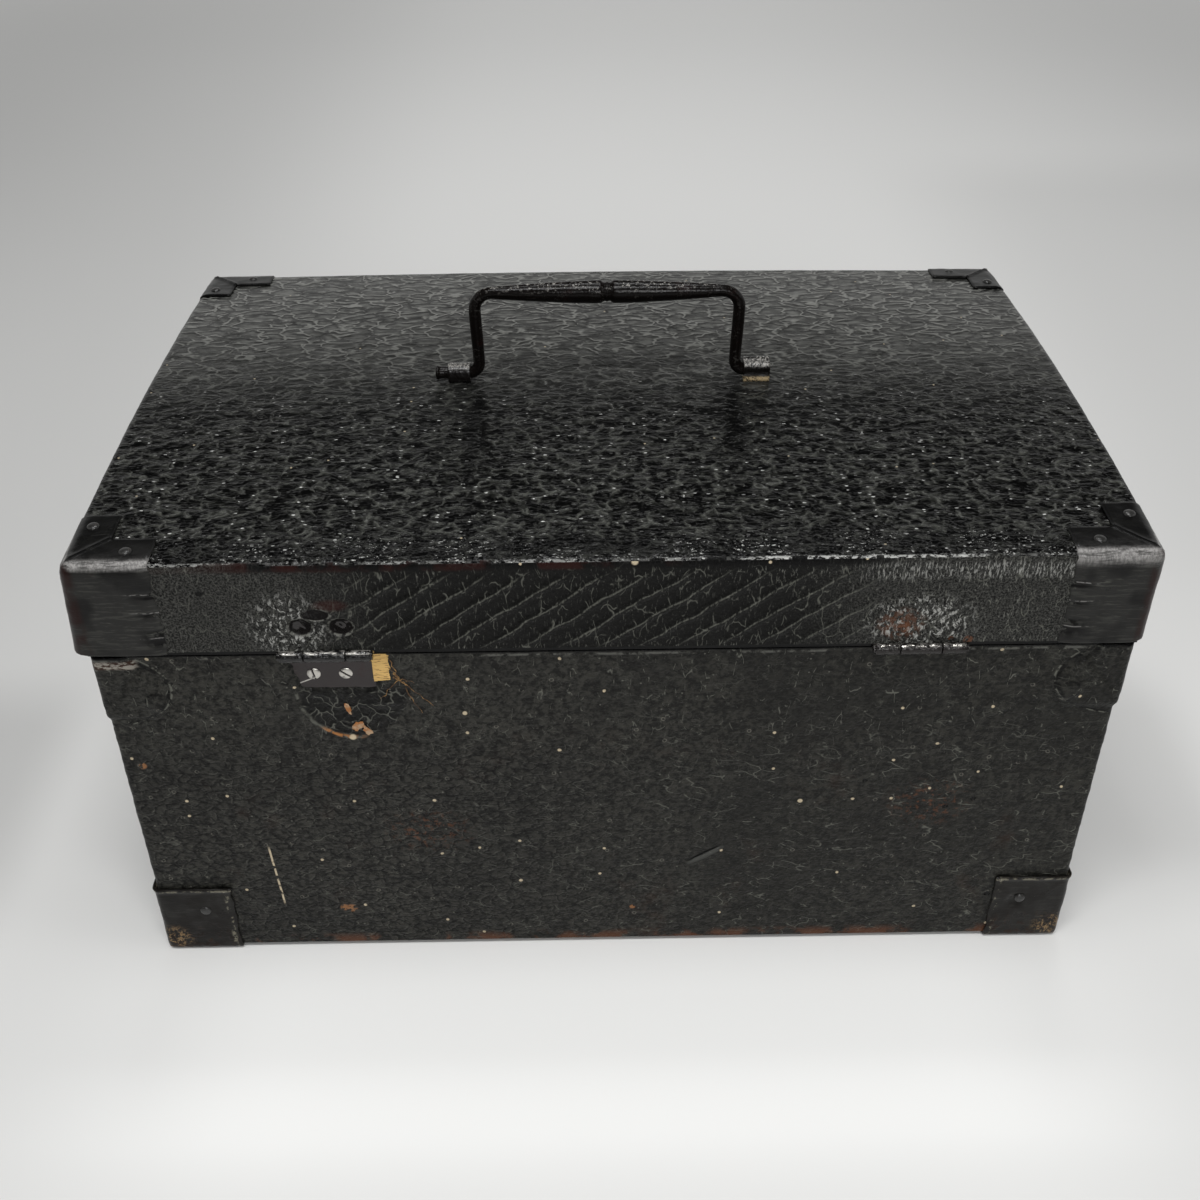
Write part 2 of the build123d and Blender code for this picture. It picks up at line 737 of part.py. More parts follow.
def make_brads():
    """The brads that hold the body's boards and the lid's, with the holes that they fill."""
    body_spots = []
    lid_spots = []
    for side_x, side_y in corners.values():
        low = bottom_board_top + corner_brad_rise
        spacing = (rim_height - corner_brad_drop - low) / (corner_brad_count - 1)
        for index in range(corner_brad_count):
            x = side_x * (body_wood_x - brad_inset)
            place = (x, side_y * (body_wood_y - brad_head_height), low + index * spacing)
            body_spots.append((place, (0, side_y, 0)))
        for rise in rail_brad_rises:
            x = side_x * (lid_wood_x - brad_inset)
            place = (x, side_y * (lid_wood_y - brad_head_height), lid_rail_low + rise)
            lid_spots.append((place, (0, side_y, 0)))
    for side_y in (-1, 1):
        for x in long_side_brads:
            low = bottom_board_low + brad_head_height
            body_spots.append(((x, side_y * (body_wood_y - brad_inset), low), (0, 0, -1)))
            top = lid_wood_edge - brad_head_height
            lid_spots.append(((x, side_y * (lid_wood_y - brad_inset), top), (0, 0, 1)))
    made = []
    for spots in (body_spots, lid_spots):
        nails, holes = driven(spots, brad_head_radius, brad_head_height, brad_radius, brad_length)
        head_room = [
            rod(place, out, brad_head_radius + nail_hole_clearance, brad_head_height + cut_margin)
            for place, out in spots
        ]
        made.append((nails, holes + head_room))
    return made


(body_brads, body_brad_holes), (lid_brads, lid_brad_holes) = make_brads()
nodes["body_board_brads"] = Compound(children=body_brads)
nodes["lid_board_brads"] = Compound(children=lid_brads)


def make_body():
    """The five boards of the body, its covering and its lining."""
    wall_z = (bottom_board_top, rim_height)
    body_x = (-body_wood_x, body_wood_x)
    nail_holes = bottom_nail_holes + patch_nail_holes + body_brad_holes
    hinge_cuts = hinge_reliefs[:]
    for hinge in hinges.values():
        hinge_cuts += hinge["body_mortise"] + hinge["body_holes"]
    hinge_board = block(body_x, (-body_wood_y, -inner_y), wall_z)
    lock_board = block(body_x, (inner_y, body_wood_y), wall_z)
    nodes["hinge_side_board"] = hinge_board - nail_holes - hinge_cuts
    nodes["lock_side_board"] = lock_board - nail_holes - lock_mortise - escutcheon_holes
    end_y = (-inner_y, inner_y)
    nodes["left_end_board"] = block((-body_wood_x, -inner_x), end_y, wall_z) - nail_holes
    nodes["right_end_board"] = block((inner_x, body_wood_x), end_y, wall_z) - nail_holes
    bottom = block(body_x, (-body_wood_y, body_wood_y), (bottom_board_low, bottom_board_top))
    nodes["bottom_board"] = bottom - nail_holes
    leaf_low = rim_height - lid_gap - hinge_leaf_height
    left_edge = hinge_places["left"] - hinge_length / 2
    right_edge = hinge_places["left"] + hinge_length / 2
    skin_y = (-body_cap_y, -body_wood_y)
    worn_window = block((left_edge, right_edge), skin_y, (leaf_low, rim_height))
    worn_window += block(
        (right_edge, right_edge + bare_wood_width), skin_y,
        (rim_height - bare_wood_height, rim_height),
    )
    webs = [hinge["body_mortise"][1] for hinge in hinges.values()]
    covering = body_cover_block - body_wood_block - worn_window - hinge_reliefs - webs
    covering = covering - bottom_nail_holes - patch_nail_holes
    nodes["body_covering"] = covering - escutcheon_holes - keyhole()
    lining_top = rim_height - lining_drop
    lining = block((-inner_x, inner_x), (-inner_y, inner_y), (bottom_board_top, lining_top))
    room = block(
        (-inner_x + lining_thickness, inner_x - lining_thickness),
        (-inner_y + lining_thickness, inner_y - lining_thickness),
        (bottom_board_top + lining_thickness, lining_top),
    )
    lock_window = block(
        lock_flange_x, (inner_y - lining_thickness, inner_y), (lock_low, rim_height)
    )
    nodes["body_lining"] = lining - room - lock_window


def make_lid():
    """The crowned top board, the four rails under it, the lid's covering and its lining."""
    nail_holes = lid_nail_holes + lid_brad_holes
    rail_z = (lid_rail_low, lid_board_low)
    lid_x = (-lid_wood_x, lid_wood_x)
    hinge_cuts = hinge_reliefs[:]
    for hinge in hinges.values():
        hinge_cuts += hinge["lid_mortise"] + hinge["lid_holes"]
    hinge_rail = block(lid_x, (-lid_wood_y, -inner_y), rail_z)
    lock_rail = block(lid_x, (inner_y, lid_wood_y), rail_z)
    nodes["lid_hinge_side_rail"] = hinge_rail - nail_holes - hinge_cuts
    nodes["lid_lock_side_rail"] = lock_rail - nail_holes - strike_mortise
    end_y = (-inner_y, inner_y)
    nodes["lid_left_rail"] = block((-lid_wood_x, -inner_x), end_y, rail_z) - nail_holes
    nodes["lid_right_rail"] = block((inner_x, lid_wood_x), end_y, rail_z) - nail_holes
    top = crowned_block(lid_wood_x, lid_wood_y, lid_board_low, lid_wood_edge)
    nodes["lid_top_board"] = top - nail_holes - staple_cuts
    nodes["lid_covering"] = (
        lid_cover_block - lid_wood_block - hinge_reliefs - lid_nail_holes - staple_cuts
    )
    lining_low = lid_rail_low + lining_drop
    lining = block((-inner_x, inner_x), (-inner_y, inner_y), (lining_low, lid_board_low))
    room = block(
        (-inner_x + lining_thickness, inner_x - lining_thickness),
        (-inner_y + lining_thickness, inner_y - lining_thickness),
        (lining_low, lid_board_low - lining_thickness),
    )
    nodes["lid_lining"] = lining - room


make_body()
make_lid()

os.makedirs("parts", exist_ok=True)
for name, shape in nodes.items():
    export_step(shape, f"parts/{name}.step")
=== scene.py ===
"""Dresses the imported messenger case: black lacquered covering, iron corner caps, forged bail, hinges and lining."""
import contextlib
import json
import math
import random

import bmesh
import bpy
from mathutils import Matrix, Vector


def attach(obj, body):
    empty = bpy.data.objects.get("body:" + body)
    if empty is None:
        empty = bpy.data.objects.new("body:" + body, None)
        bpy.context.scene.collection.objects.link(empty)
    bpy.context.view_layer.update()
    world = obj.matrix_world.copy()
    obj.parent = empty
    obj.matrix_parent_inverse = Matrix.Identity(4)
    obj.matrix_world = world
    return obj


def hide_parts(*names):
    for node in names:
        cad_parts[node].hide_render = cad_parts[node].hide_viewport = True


bl_info = {
    "name": "Messenger Case",
    "version": (1, 0, 0),
    "blender": (4, 5, 0),
    "location": "View3D > Sidebar > Messenger Case",
    "description": "Builds the covering, caps, handle, hinges and lining of a messenger case on its packed frame",
    "category": "Object",
}

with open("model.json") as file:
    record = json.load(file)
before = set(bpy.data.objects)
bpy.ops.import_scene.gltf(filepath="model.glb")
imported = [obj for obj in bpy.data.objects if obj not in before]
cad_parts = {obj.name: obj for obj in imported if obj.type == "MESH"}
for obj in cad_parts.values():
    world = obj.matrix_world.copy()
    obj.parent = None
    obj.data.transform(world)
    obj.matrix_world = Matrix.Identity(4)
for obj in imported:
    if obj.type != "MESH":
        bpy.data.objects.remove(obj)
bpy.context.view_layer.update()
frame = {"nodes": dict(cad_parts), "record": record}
MM = 0.001

# Places that several pieces share, in millimetres from the middle of the footprint
LID_X, LID_Y, LID_LOW, LID_HIGH = 198.8, 131.3, 165.3, 206.2
BODY_X, BODY_Y = 196.4, 128.9
LID_CAP_X, LID_CAP_Y = 167.0, 101.5
FOOT_CAP_X, FOOT_CAP_Y = 164.6, 97.1
PATCH_X, PATCH_Y, PATCH_LOW = 169.6, 102.1, 131.8
HINGE_Y, HINGE_Z = -131.6, 164.55
HANDLE_Y, HANDLE_Z = 2.0, 215.2

# Sheet thicknesses in millimetres
CAP_IRON, PATCH_SHEET = 1.25, 1.2

# The rise of the lid's middle over its long edges, in millimetres
CROWN = 4.8


# Sizes and colours
def length(name, description, default):
    """A size that the sidebar shows, in metres."""
    return bpy.props.FloatProperty(
        name=name,
        description=description,
        default=default,
        min=0.0,
        unit="LENGTH",
        subtype="DISTANCE",
        precision=5,
    )


def grey(level):
    """A grey without a tinge."""
    return (level, level, level, 1.0)


def colour(name, description, default):
    """A colour that the sidebar shows."""
    return bpy.props.FloatVectorProperty(
        name=name, description=description, default=default, size=4, min=0.0, max=1.0, subtype="COLOR",
    )


# Colours that several finishes share: the black of painted shade (in holes, in the gap under the lid, under a flap,
# along patch creases and on the shaded sides of folds), and the greys of painted glints and of painted highlights on
# edges
SHADE_BLACK = grey(0.001)
GLINT_GREY = (0.36, 0.36, 0.34, 1.0)
HIGHLIGHT_GREY = (0.50, 0.50, 0.48, 1.0)


class CaseSizes(bpy.types.PropertyGroup):
    """Sizes of the dressed pieces"""

    lid_step: length("Lid mesh step", "Spacing of the lid covering's mesh", 1.4 * MM)
    body_step: length("Body mesh step", "Spacing of the body covering's mesh", 1.6 * MM)
    cap_step: length("Cap mesh step", "Spacing of the corner caps' mesh", 1.3 * MM)
    edge_round: length("Covering edge round", "Radius of the covering's folded edges", 2.0 * MM)
    cap_round: length("Cap edge round", "Radius of the corner caps' outer edges", 5.0 * MM)
    skin: length("Sheet thickness", "Thickness of the covering and of the cap iron", 1.2 * MM)
    crown: length("Lid crown", "Rise of the lid's middle over its long edges", CROWN * MM)
    bow: length("Lock side bow", "Rise of the lid's lock side edge at its middle", 1.8 * MM)
    top_leaf: length("Cap top leaf", "Width of the leaves that a lid cap folds onto the top", 16.0 * MM)
    strap: length("Staple strap", "Thickness of the strap round each handle foot", 1.2 * MM)


class CaseColours(bpy.types.PropertyGroup):
    """Colours of the finishes"""

    lacquer: colour("Lacquer", "Thick black lacquer of the covering", (0.0016, 0.0016, 0.0016, 1.0))
    # The fold crest colour is a painted highlight on the crests and lit faces of the top's folds
    fold: colour("Fold crest", "Greyed crests of the lacquer's folds", (0.075, 0.077, 0.068, 1.0))
    side: colour("Side lacquer", "Thinner lacquer of the sides", (0.0024, 0.0024, 0.0021, 1.0))
    crack: colour("Crack line", "Dusty grey green crack lines", (0.145, 0.147, 0.125, 1.0))
    undercoat: colour("Undercoat", "Red brown undercoat that shows at rubbed edges", (0.030, 0.006, 0.004, 1.0))
    cream: colour("Bare ground", "Cream ground in chips and pin heads", (0.56, 0.47, 0.33, 1.0))
    rust: colour("Rust", "Rust brown blooms", (0.120, 0.045, 0.020, 1.0))
    orange: colour("Glue", "Orange brown glue and leather fibres", (0.36, 0.150, 0.045, 1.0))
    iron: colour("Cap iron", "Blackened iron of the corner caps", (0.0185, 0.0183, 0.0172, 1.0))
    forged: colour("Forged iron", "Brown black forged iron of the handle", (0.0036, 0.0027, 0.0024, 1.0))
    hinge: colour("Hinge iron", "Brown plum iron of the hinge leaves", (0.028, 0.022, 0.022, 1.0))
    bright: colour("Bright metal", "Bare bright metal where it is rubbed", (0.55, 0.53, 0.49, 1.0))
    wood: colour("Board wood", "Pale pine of the boards", (0.44, 0.27, 0.125, 1.0))
    grain: colour("Wood grain", "Darker grain of the boards", (0.23, 0.115, 0.045, 1.0))
    paper: colour("Lining paper", "Aged paper lining", (0.42, 0.36, 0.26, 1.0))
    floor: colour("Floor", "Pale studio floor", (0.96, 0.96, 0.945, 1.0))


# Node trees written as arithmetic
class Wire:
    """A socket that takes part in plain arithmetic by adding math nodes."""

    def __init__(self, net, socket):
        self.net = net
        self.socket = socket

    def __add__(self, other):
        return self.net.math("ADD", self, other)

    def __sub__(self, other):
        return self.net.math("SUBTRACT", self, other)

    def __rsub__(self, other):
        return self.net.math("SUBTRACT", other, self)

    def __mul__(self, other):
        return self.net.math("MULTIPLY", self, other)

    def __truediv__(self, other):
        return self.net.math("DIVIDE", self, other)

    def __rtruediv__(self, other):
        return self.net.math("DIVIDE", other, self)

    def __neg__(self):
        return self.net.math("MULTIPLY", self, -1.0)

    def __abs__(self):
        return self.net.math("ABSOLUTE", self)

    __radd__ = __add__
    __rmul__ = __mul__


class Net:
    """Adds nodes to a shader or geometry tree and joins them."""

    def __init__(self, tree):
        self.tree = tree

    def node(self, kind, inputs, **settings):
        """Adds a node with its settings, and joins or sets its inputs."""
        made = self.tree.nodes.new(kind)
        for name, value in settings.items():
            setattr(made, name, value)
        for name, value in inputs.items():
            if isinstance(value, Wire):
                self.tree.links.new(value.socket, made.inputs[name])
            else:
                made.inputs[name].default_value = value
        return made

    def out(self, made, name=0):
        """One output of a node, by number or name."""
        return Wire(self, made.outputs[name])

    def math(self, operation, *values):
        return self.out(self.node("ShaderNodeMath", dict(enumerate(values)), operation=operation))

    def vector(self, operation, *values):
        return self.out(self.node("ShaderNodeVectorMath", dict(enumerate(values)), operation=operation))

    def scale(self, vector, factor):
        return self.out(self.node("ShaderNodeVectorMath", {"Vector": vector, "Scale": factor}, operation="SCALE"))

    def parts(self, vector):
        """The x, y and z of a vector."""
        made = self.node("ShaderNodeSeparateXYZ", {"Vector": vector})
        return self.out(made, 0), self.out(made, 1), self.out(made, 2)

    def point(self, x, y, z):
        return self.out(self.node("ShaderNodeCombineXYZ", {"X": x, "Y": y, "Z": z}))

    def shift(self, point, move):
        return self.vector("ADD", point, move)

    def stretch(self, point, factors):
        return self.vector("MULTIPLY", point, factors)

    def most(self, a, b):
        return self.math("MAXIMUM", a, b)

    def ramp(self, value, low, high):
        """0 below the low value, 1 above the high one and a smooth step between them."""
        limits = {"Value": value, "From Min": low, "From Max": high}
        return self.out(self.node("ShaderNodeMapRange", limits, interpolation_type="SMOOTHSTEP"))

    def fall(self, value, low, high):
        """1 below the low value and 0 above the high one."""
        return 1.0 - self.ramp(value, low, high)

    def noise(self, point, size, detail=2.0, roughness=0.5):
        """Smooth noise whose largest lumps are about the size in millimetres."""
        inputs = {"Vector": point, "Scale": 1.0 / size, "Detail": detail, "Roughness": roughness}
        return self.out(self.node("ShaderNodeTexNoise", inputs))

    def sway(self, point, size, detail=2.0, roughness=0.5):
        """Noise that goes above and below nothing."""
        return self.noise(point, size, detail, roughness) - 0.5

    def patches(self, point, size, low, high, detail=2.0, roughness=0.5):
        """Noise cut into patches: 0 where it is below the low value and 1 above the high one."""
        return self.ramp(self.noise(point, size, detail, roughness), low, high)

    def streaks(self, point, factors, size, detail=2.0, roughness=0.5):
        """Noise drawn out along the directions whose factors are under 1."""
        return self.noise(self.stretch(point, factors), size, detail, roughness)

    def stray(self, point, size, reach):
        """The point moved about by noise, so that what follows it wanders."""
        made = self.node("ShaderNodeTexNoise", {"Vector": point, "Scale": 1.0 / size, "Detail": 2.0})
        centred = self.vector("SUBTRACT", self.out(made, 1), (0.5, 0.5, 0.5))
        return self.vector("ADD", point, self.scale(centred, 2.0 * reach))

    def cells(self, point, size, feature="DISTANCE_TO_EDGE", out="Distance", dimensions="2D"):
        """The distance to the nearest edge between random cells, or another output of the cells."""
        inputs = {"Vector": point, "Scale": 1.0 / size}
        made = self.node("ShaderNodeTexVoronoi", inputs, feature=feature, voronoi_dimensions=dimensions)
        return self.out(made, out)

    def flat(self, point):
        """The place on the four sides unrolled: distance along the side, and height."""
        x, y, z = self.parts(point)
        return self.point(x + y, z, 0.0)

    def tint(self, factor, a, b):
        """Colour a where the factor is 0, and colour b where it is 1."""
        made = self.node("ShaderNodeMix", {0: factor, 6: a, 7: b}, data_type="RGBA")
        return self.out(made, 2)

    def reach(self, a, b, centre, radius):
        """How far out a place is from an ellipse's centre: 1 on the ellipse."""
        across = (a - centre[0]) / radius[0]
        along = (b - centre[1]) / radius[1]
        return self.math("SQRT", across * across + along * along)

    def disc(self, a, b, centre, radius, soft=0.25):
        """1 inside an ellipse and 0 outside it."""
        away = self.reach(a, b, centre, radius)
        return 1.0 - self.ramp(away, 1.0 - soft, 1.0 + soft)

    def ring(self, a, b, centre, radius, width):
        """1 along the outline of an ellipse, with the width as a share of its radius."""
        away = self.reach(a, b, centre, radius)
        return self.band(away, 1.0 - width, 1.0 + width, 0.6 * width)

    def band(self, value, low, high, soft):
        """1 between the low and the high value and 0 outside them."""
        return self.ramp(value, low - soft, low + soft) - self.ramp(value, high - soft, high + soft)

    def folds(self, point, size, reach, width):
        """Raised folds between cells: 1 along a fold's crest and 0 between the folds."""
        edge = self.cells(self.stray(point, size * 1.4, reach), size, dimensions="3D")
        return 1.0 - self.ramp(edge, 0.0, width)


class Paint:
    """A colour that is laid on coat by coat."""

    def __init__(self, net, ground):
        self.net = net
        self.colour = ground

    def coat(self, cover, colour):
        """Lays a colour over the last one, where the cover is above 0."""
        self.colour = self.net.tint(cover, self.colour, colour)


# Modelling by hand
def settle():
    """Leaves edit mode with nothing selected, so that an operator acts on its own piece alone."""
    if bpy.context.mode != "OBJECT":
        bpy.ops.object.mode_set(mode="OBJECT")
    bpy.ops.object.select_all(action="DESELECT")


def hold(piece):
    """Makes a piece the only one that is selected and active."""
    settle()
    piece.select_set(True)
    bpy.context.view_layer.objects.active = piece


@contextlib.contextmanager
def editing(piece, mode="FACE"):
    """Edit mode on one piece for the length of a with block."""
    hold(piece)
    bpy.ops.object.mode_set(mode="EDIT")
    bpy.ops.mesh.select_mode(type=mode)
    yield
    bpy.ops.object.mode_set(mode="OBJECT")


def take(piece, kind, test):
    """Selects the faces, edges or verts that pass a test, in edit mode."""
    bpy.ops.mesh.select_mode(type={"faces": "FACE", "edges": "EDGE", "verts": "VERT"}[kind])
    bpy.ops.mesh.select_all(action="DESELECT")
    mesh = bmesh.from_edit_mesh(piece.data)
    found = [item for item in getattr(mesh, kind) if test(item)]
    for item in found:
        item.select_set(True)
    bmesh.update_edit_mesh(piece.data)
    return len(found)


def middle(item):
    """The middle of a face or an edge, in millimetres."""
    if isinstance(item, bmesh.types.BMFace):
        return item.calc_center_median() / MM
    return (item.verts[0].co + item.verts[1].co) / (2 * MM)


def runs_along(edge, axis):
    """Whether an edge lies along the x, y or z axis."""
    span = edge.verts[1].co - edge.verts[0].co
    return abs(span[axis]) > 0.999 * span.length


def add_box(name, low, high):
    """A cube added at its size and place, given in millimetres."""
    settle()
    centre = [(a + b) / 2 * MM for a, b in zip(low, high)]
    size = [(b - a) * MM for a, b in zip(low, high)]
    bpy.ops.mesh.primitive_cube_add(size=1.0, location=centre, scale=size)
    piece = bpy.context.object
    piece.name = name
    bpy.ops.object.transform_apply(location=True, rotation=True, scale=True)
    return piece


def add_ring(name, centre, radius, turn, count):
    """An open circle of points, the start of a tube."""
    settle()
    bpy.ops.mesh.primitive_circle_add(
        vertices=count, radius=radius * MM, location=[c * MM for c in centre], rotation=turn, fill_type="NOTHING",
    )
    piece = bpy.context.object
    piece.name = name
    bpy.ops.object.transform_apply(location=True, rotation=True, scale=True)
    return piece


def divide(piece, axis, step):
    """Cuts the edges that run along an axis into lengths no longer than the step."""
    def long_edges(edge):
        return runs_along(edge, axis) and edge.calc_length() > 1.5 * step

    mesh = bmesh.from_edit_mesh(piece.data)
    longest = max((e.calc_length() for e in mesh.edges if runs_along(e, axis)), default=0.0)
    wanted = math.ceil(longest / step)
    while wanted > 1:
        lengths = min(wanted, math.ceil(wanted / math.ceil(wanted / 90)))
        take(piece, "edges", long_edges)
        bpy.ops.mesh.subdivide(number_cuts=lengths - 1)
        wanted = math.ceil(wanted / lengths)


def extrude(move):
    """Pulls what is selected out by a move in millimetres."""
    bpy.ops.mesh.extrude_region_move(TRANSFORM_OT_translate={"value": [m * MM for m in move]})


def fill_ring(piece):
    """Closes an open circle of points and leaves its edges selected, ready to be pulled out into a tube."""
    bpy.ops.mesh.select_all(action="SELECT")
    bpy.ops.mesh.edge_face_add()
    take(piece, "edges", lambda e: True)


def face_outwards():
    """Turns every face of the mesh in edit mode outwards."""
    bpy.ops.mesh.select_all(action="SELECT")
    bpy.ops.mesh.normals_make_consistent(inside=False)


def apply_modifier(piece, kind, **settings):
    """Adds a modifier with its settings and applies it."""
    hold(piece)
    modifier = piece.modifiers.new(kind.title(), kind)
    for name, value in settings.items():
        setattr(modifier, name, value)
    bpy.ops.object.modifier_apply(modifier=modifier.name)


def shape(piece, *stages):
    """Moves the piece's points by a geometry node tree. Each stage gives an offset in millimetres."""
    tree = bpy.data.node_groups.new(f"{piece.name} shape", "GeometryNodeTree")
    tree.interface.new_socket("Geometry", in_out="INPUT", socket_type="NodeSocketGeometry")
    tree.interface.new_socket("Geometry", in_out="OUTPUT", socket_type="NodeSocketGeometry")
    net = Net(tree)
    geometry = net.out(net.node("NodeGroupInput", {}))
    place = net.scale(net.out(net.node("GeometryNodeInputPosition", {})), 1000.0)
    normal = net.out(net.node("GeometryNodeInputNormal", {}))
    for stage in stages:
        offset = net.scale(stage(net, place, normal), MM)
        moved = net.node("GeometryNodeSetPosition", {"Geometry": geometry, "Offset": offset})
        geometry = net.out(moved)
    net.node("NodeGroupOutput", {"Geometry": geometry})
    apply_modifier(piece, "NODES", node_group=tree)
    bpy.data.node_groups.remove(tree)


def smooth(piece, angle=40):
    """Shades a piece smooth, except over edges sharper than the angle in degrees."""
    hold(piece)
    bpy.ops.object.shade_smooth_by_angle(angle=math.radians(angle))


def join(name, parts):
    """Joins parts into the first one, under a new name."""
    settle()
    for part in parts:
        part.select_set(True)
    bpy.context.view_layer.objects.active = parts[0]
    if len(parts) > 1:
        bpy.ops.object.join()
    parts[0].name = name
    return parts[0]


def copy_of(piece, name, place):
    """A copy with its own mesh, moved by a matrix."""
    other = piece.copy()
    other.data = piece.data.copy()
    other.name = name
    bpy.context.scene.collection.objects.link(other)
    other.data.transform(place)
    if place.determinant() < 0:
        with editing(other):
            bpy.ops.mesh.select_all(action="SELECT")
            bpy.ops.mesh.flip_normals()
    return other


def dress(piece, body, slot, material, *nodes):
    """Gives a finished piece its material and body, and hides the imported nodes that it stands for."""
    piece.data.materials.clear()
    piece.data.materials.append(material)
    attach(piece, body)
    if nodes:
        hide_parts(*nodes)


# Shader node groups shared by the finishes
def shader_group(name, inputs, outputs, build):
    """A shader node group with named inputs and outputs, made once."""
    tree = bpy.data.node_groups.get(name)
    if tree:
        return tree
    tree = bpy.data.node_groups.new(name, "ShaderNodeTree")
    for label, default in inputs.items():
        kind = "NodeSocketVector" if default is None else "NodeSocketFloat"
        socket = tree.interface.new_socket(label, in_out="INPUT", socket_type=kind)
        if default is not None:
            socket.default_value = default
    for label in outputs:
        tree.interface.new_socket(label, in_out="OUTPUT", socket_type="NodeSocketFloat")
    net = Net(tree)
    entry = net.node("NodeGroupInput", {})
    results = build(net, **{label.lower(): net.out(entry, label) for label in inputs})
    net.node("NodeGroupOutput", dict(zip(outputs, results)))
    return tree


def use(net, tree, **values):
    """Adds a group's node, and gives its output, or a list of its outputs."""
    made = net.tree.nodes.new("ShaderNodeGroup")
    made.node_tree = tree
    for label, value in values.items():
        if isinstance(value, Wire):
            net.tree.links.new(value.socket, made.inputs[label])
        else:
            made.inputs[label].default_value = value
    found = [net.out(made, i) for i in range(len(made.outputs))]
    return found[0] if len(found) == 1 else found


def folds_group():
    """Cells in a sheet that has crept: the thin crest between them, and the hollow's slope up to it."""
    def build(net, point, size, reach, width):
        scaled = net.scale(point, 1.0 / size)
        strayed = net.stray(scaled, 1.4, 1.0)
        moved = net.vector("SUBTRACT", strayed, scaled)
        edge = net.cells(net.shift(scaled, net.scale(moved, reach)), 1.0)
        return [net.fall(edge, 0.0, width), net.fall(edge, 0.0, 0.5)]

    inputs = {"Point": None, "Size": 4.0, "Reach": 0.4, "Width": 0.2}
    return shader_group("Lacquer folds", inputs, ["Crest", "Slope"], build)


def flecks_group():
    """Small ragged flecks, strewn over a share of random cells."""
    def build(net, point, size, share, radius):
        scaled = net.scale(point, 1.0 / size)
        away = net.cells(scaled, 1.0, "F1")
        chance = net.parts(net.cells(scaled, 1.0, "F1", "Color"))[0]
        ragged = away * (0.6 + 0.8 * net.noise(scaled, 0.12))
        return [net.fall(ragged, 0.6 * radius, radius) * net.math("LESS_THAN", chance, share)]

    inputs = {"Point": None, "Size": 12.0, "Share": 0.3, "Radius": 0.08}
    return shader_group("Scattered flecks", inputs, ["Fleck"], build)


def bloom_group():
    """Soft patches, as of rust, that cover about the share asked."""
    def build(net, point, size, cover, soft):
        cloud = net.noise(net.scale(point, 1.0 / size), 1.0, 5.0, 0.65)
        return [net.ramp(cloud, 1.0 - cover, 1.0 - cover + soft)]

    return shader_group(
        "Patchy bloom", {"Point": None, "Size": 30.0, "Cover": 0.4, "Soft": 0.15}, ["Bloom"], build
    )


def scratches_group():
    """Fine scratches that lie mostly along the case, in patches."""
    def build(net, point, size, amount):
        scaled = net.scale(point, 1.0 / size)
        long_way = net.stretch(net.stray(scaled, 3.0, 0.4), (0.12, 1.0, 1.6))
        line = net.noise(long_way, 0.35, 3.0, 0.7)
        gate = net.noise(scaled, 2.2)
        return [net.ramp(line, 0.60, 0.68) * net.ramp(gate, 1.0 - amount, 1.1 - amount)]

    return shader_group("Fine scratches", {"Point": None, "Size": 8.0, "Amount": 0.5}, ["Scratch"], build)


def creases(net, point, size, reach, width):
    """The lacquer's folds: their crests, and the slopes up to them."""
    return use(net, folds_group(), Point=point, Size=size, Reach=reach, Width=width)


def flecks(net, point, size, share, radius):
    return use(net, flecks_group(), Point=point, Size=size, Share=share, Radius=radius)


def bloom(net, point, size, cover, soft):
    return use(net, bloom_group(), Point=point, Size=size, Cover=cover, Soft=soft)


def scratches(net, point, size, amount):
    return use(net, scratches_group(), Point=point, Size=size, Amount=amount)


# Finishes
def finish(name):
    """The material of a row of FINISHES, made once.

    The row's function gives colour, roughness and height in millimetres, and metal and emission if they are needed.
    """
    surface, specular = FINISHES[name]
    material = bpy.data.materials.get(f"{name}_finish")
    if material:
        return material
    material = bpy.data.materials.new(f"{name}_finish")
    material.use_nodes = True
    tree = material.node_tree
    tree.nodes.clear()
    net = Net(tree)
    place = net.out(net.node("ShaderNodeTexCoord", {}), "Object")
    point = net.scale(place, 1000.0)
    made = surface(net, point)
    bump = net.node("ShaderNodeBump", {"Strength": 1.0, "Distance": MM, "Height": made["height"]})
    inputs = {
        "Base Color": made["colour"],
        "Roughness": made["roughness"],
        "Metallic": made.get("metallic", 0.0),
        "Specular IOR Level": specular,
        "Normal": net.out(bump),
    }
    if "emission" in made:
        inputs["Emission Color"] = made["emission"]
        inputs["Emission Strength"] = 1.0
    shader = net.node("ShaderNodeBsdfPrincipled", inputs)
    net.node("ShaderNodeOutputMaterial", {"Surface": net.out(shader)})
    return material


def palette():
    """The colours of the sidebar by name."""
    return {name: tuple(getattr(bpy.context.scene.case_colours, name)) for name in CaseColours.__annotations__}


def spots(net, a, b, places):
    """The largest of several round spots, each given as centre and radius in millimetres."""
    total = None
    for centre_a, centre_b, radius in places:
        spot = net.disc(a, b, (centre_a, centre_b), (radius, radius), 0.3)
        total = spot if total is None else net.most(total, spot)
    return total


def discs(net, a, b, soft, *ellipses):
    """Several ellipses added up, each given as centre and radii in millimetres."""
    total = net.disc(a, b, *ellipses[0], soft)
    for ellipse in ellipses[1:]:
        total = total + net.disc(a, b, *ellipse, soft)
    return total


def bands(net, value, *rows):
    """Several bands of a value added up, each given as low, high and soft."""
    total = net.band(value, *rows[0])
    for row in rows[1:]:
        total = total + net.band(value, *row)
    return total


def line(net, a, b, start, end, width):
    """A thin straight mark between two places, 1 on it and 0 beside it."""
    run = (end[0] - start[0], end[1] - start[1])
    size = math.hypot(*run)
    along = ((a - start[0]) * (run[0] / size) + (b - start[1]) * (run[1] / size)) / size
    across = abs((b - start[1]) * (run[0] / size) - (a - start[0]) * (run[1] / size))
    return net.fall(across, 0.5 * width, width) * net.band(along, 0.0, 1.0, 0.06)


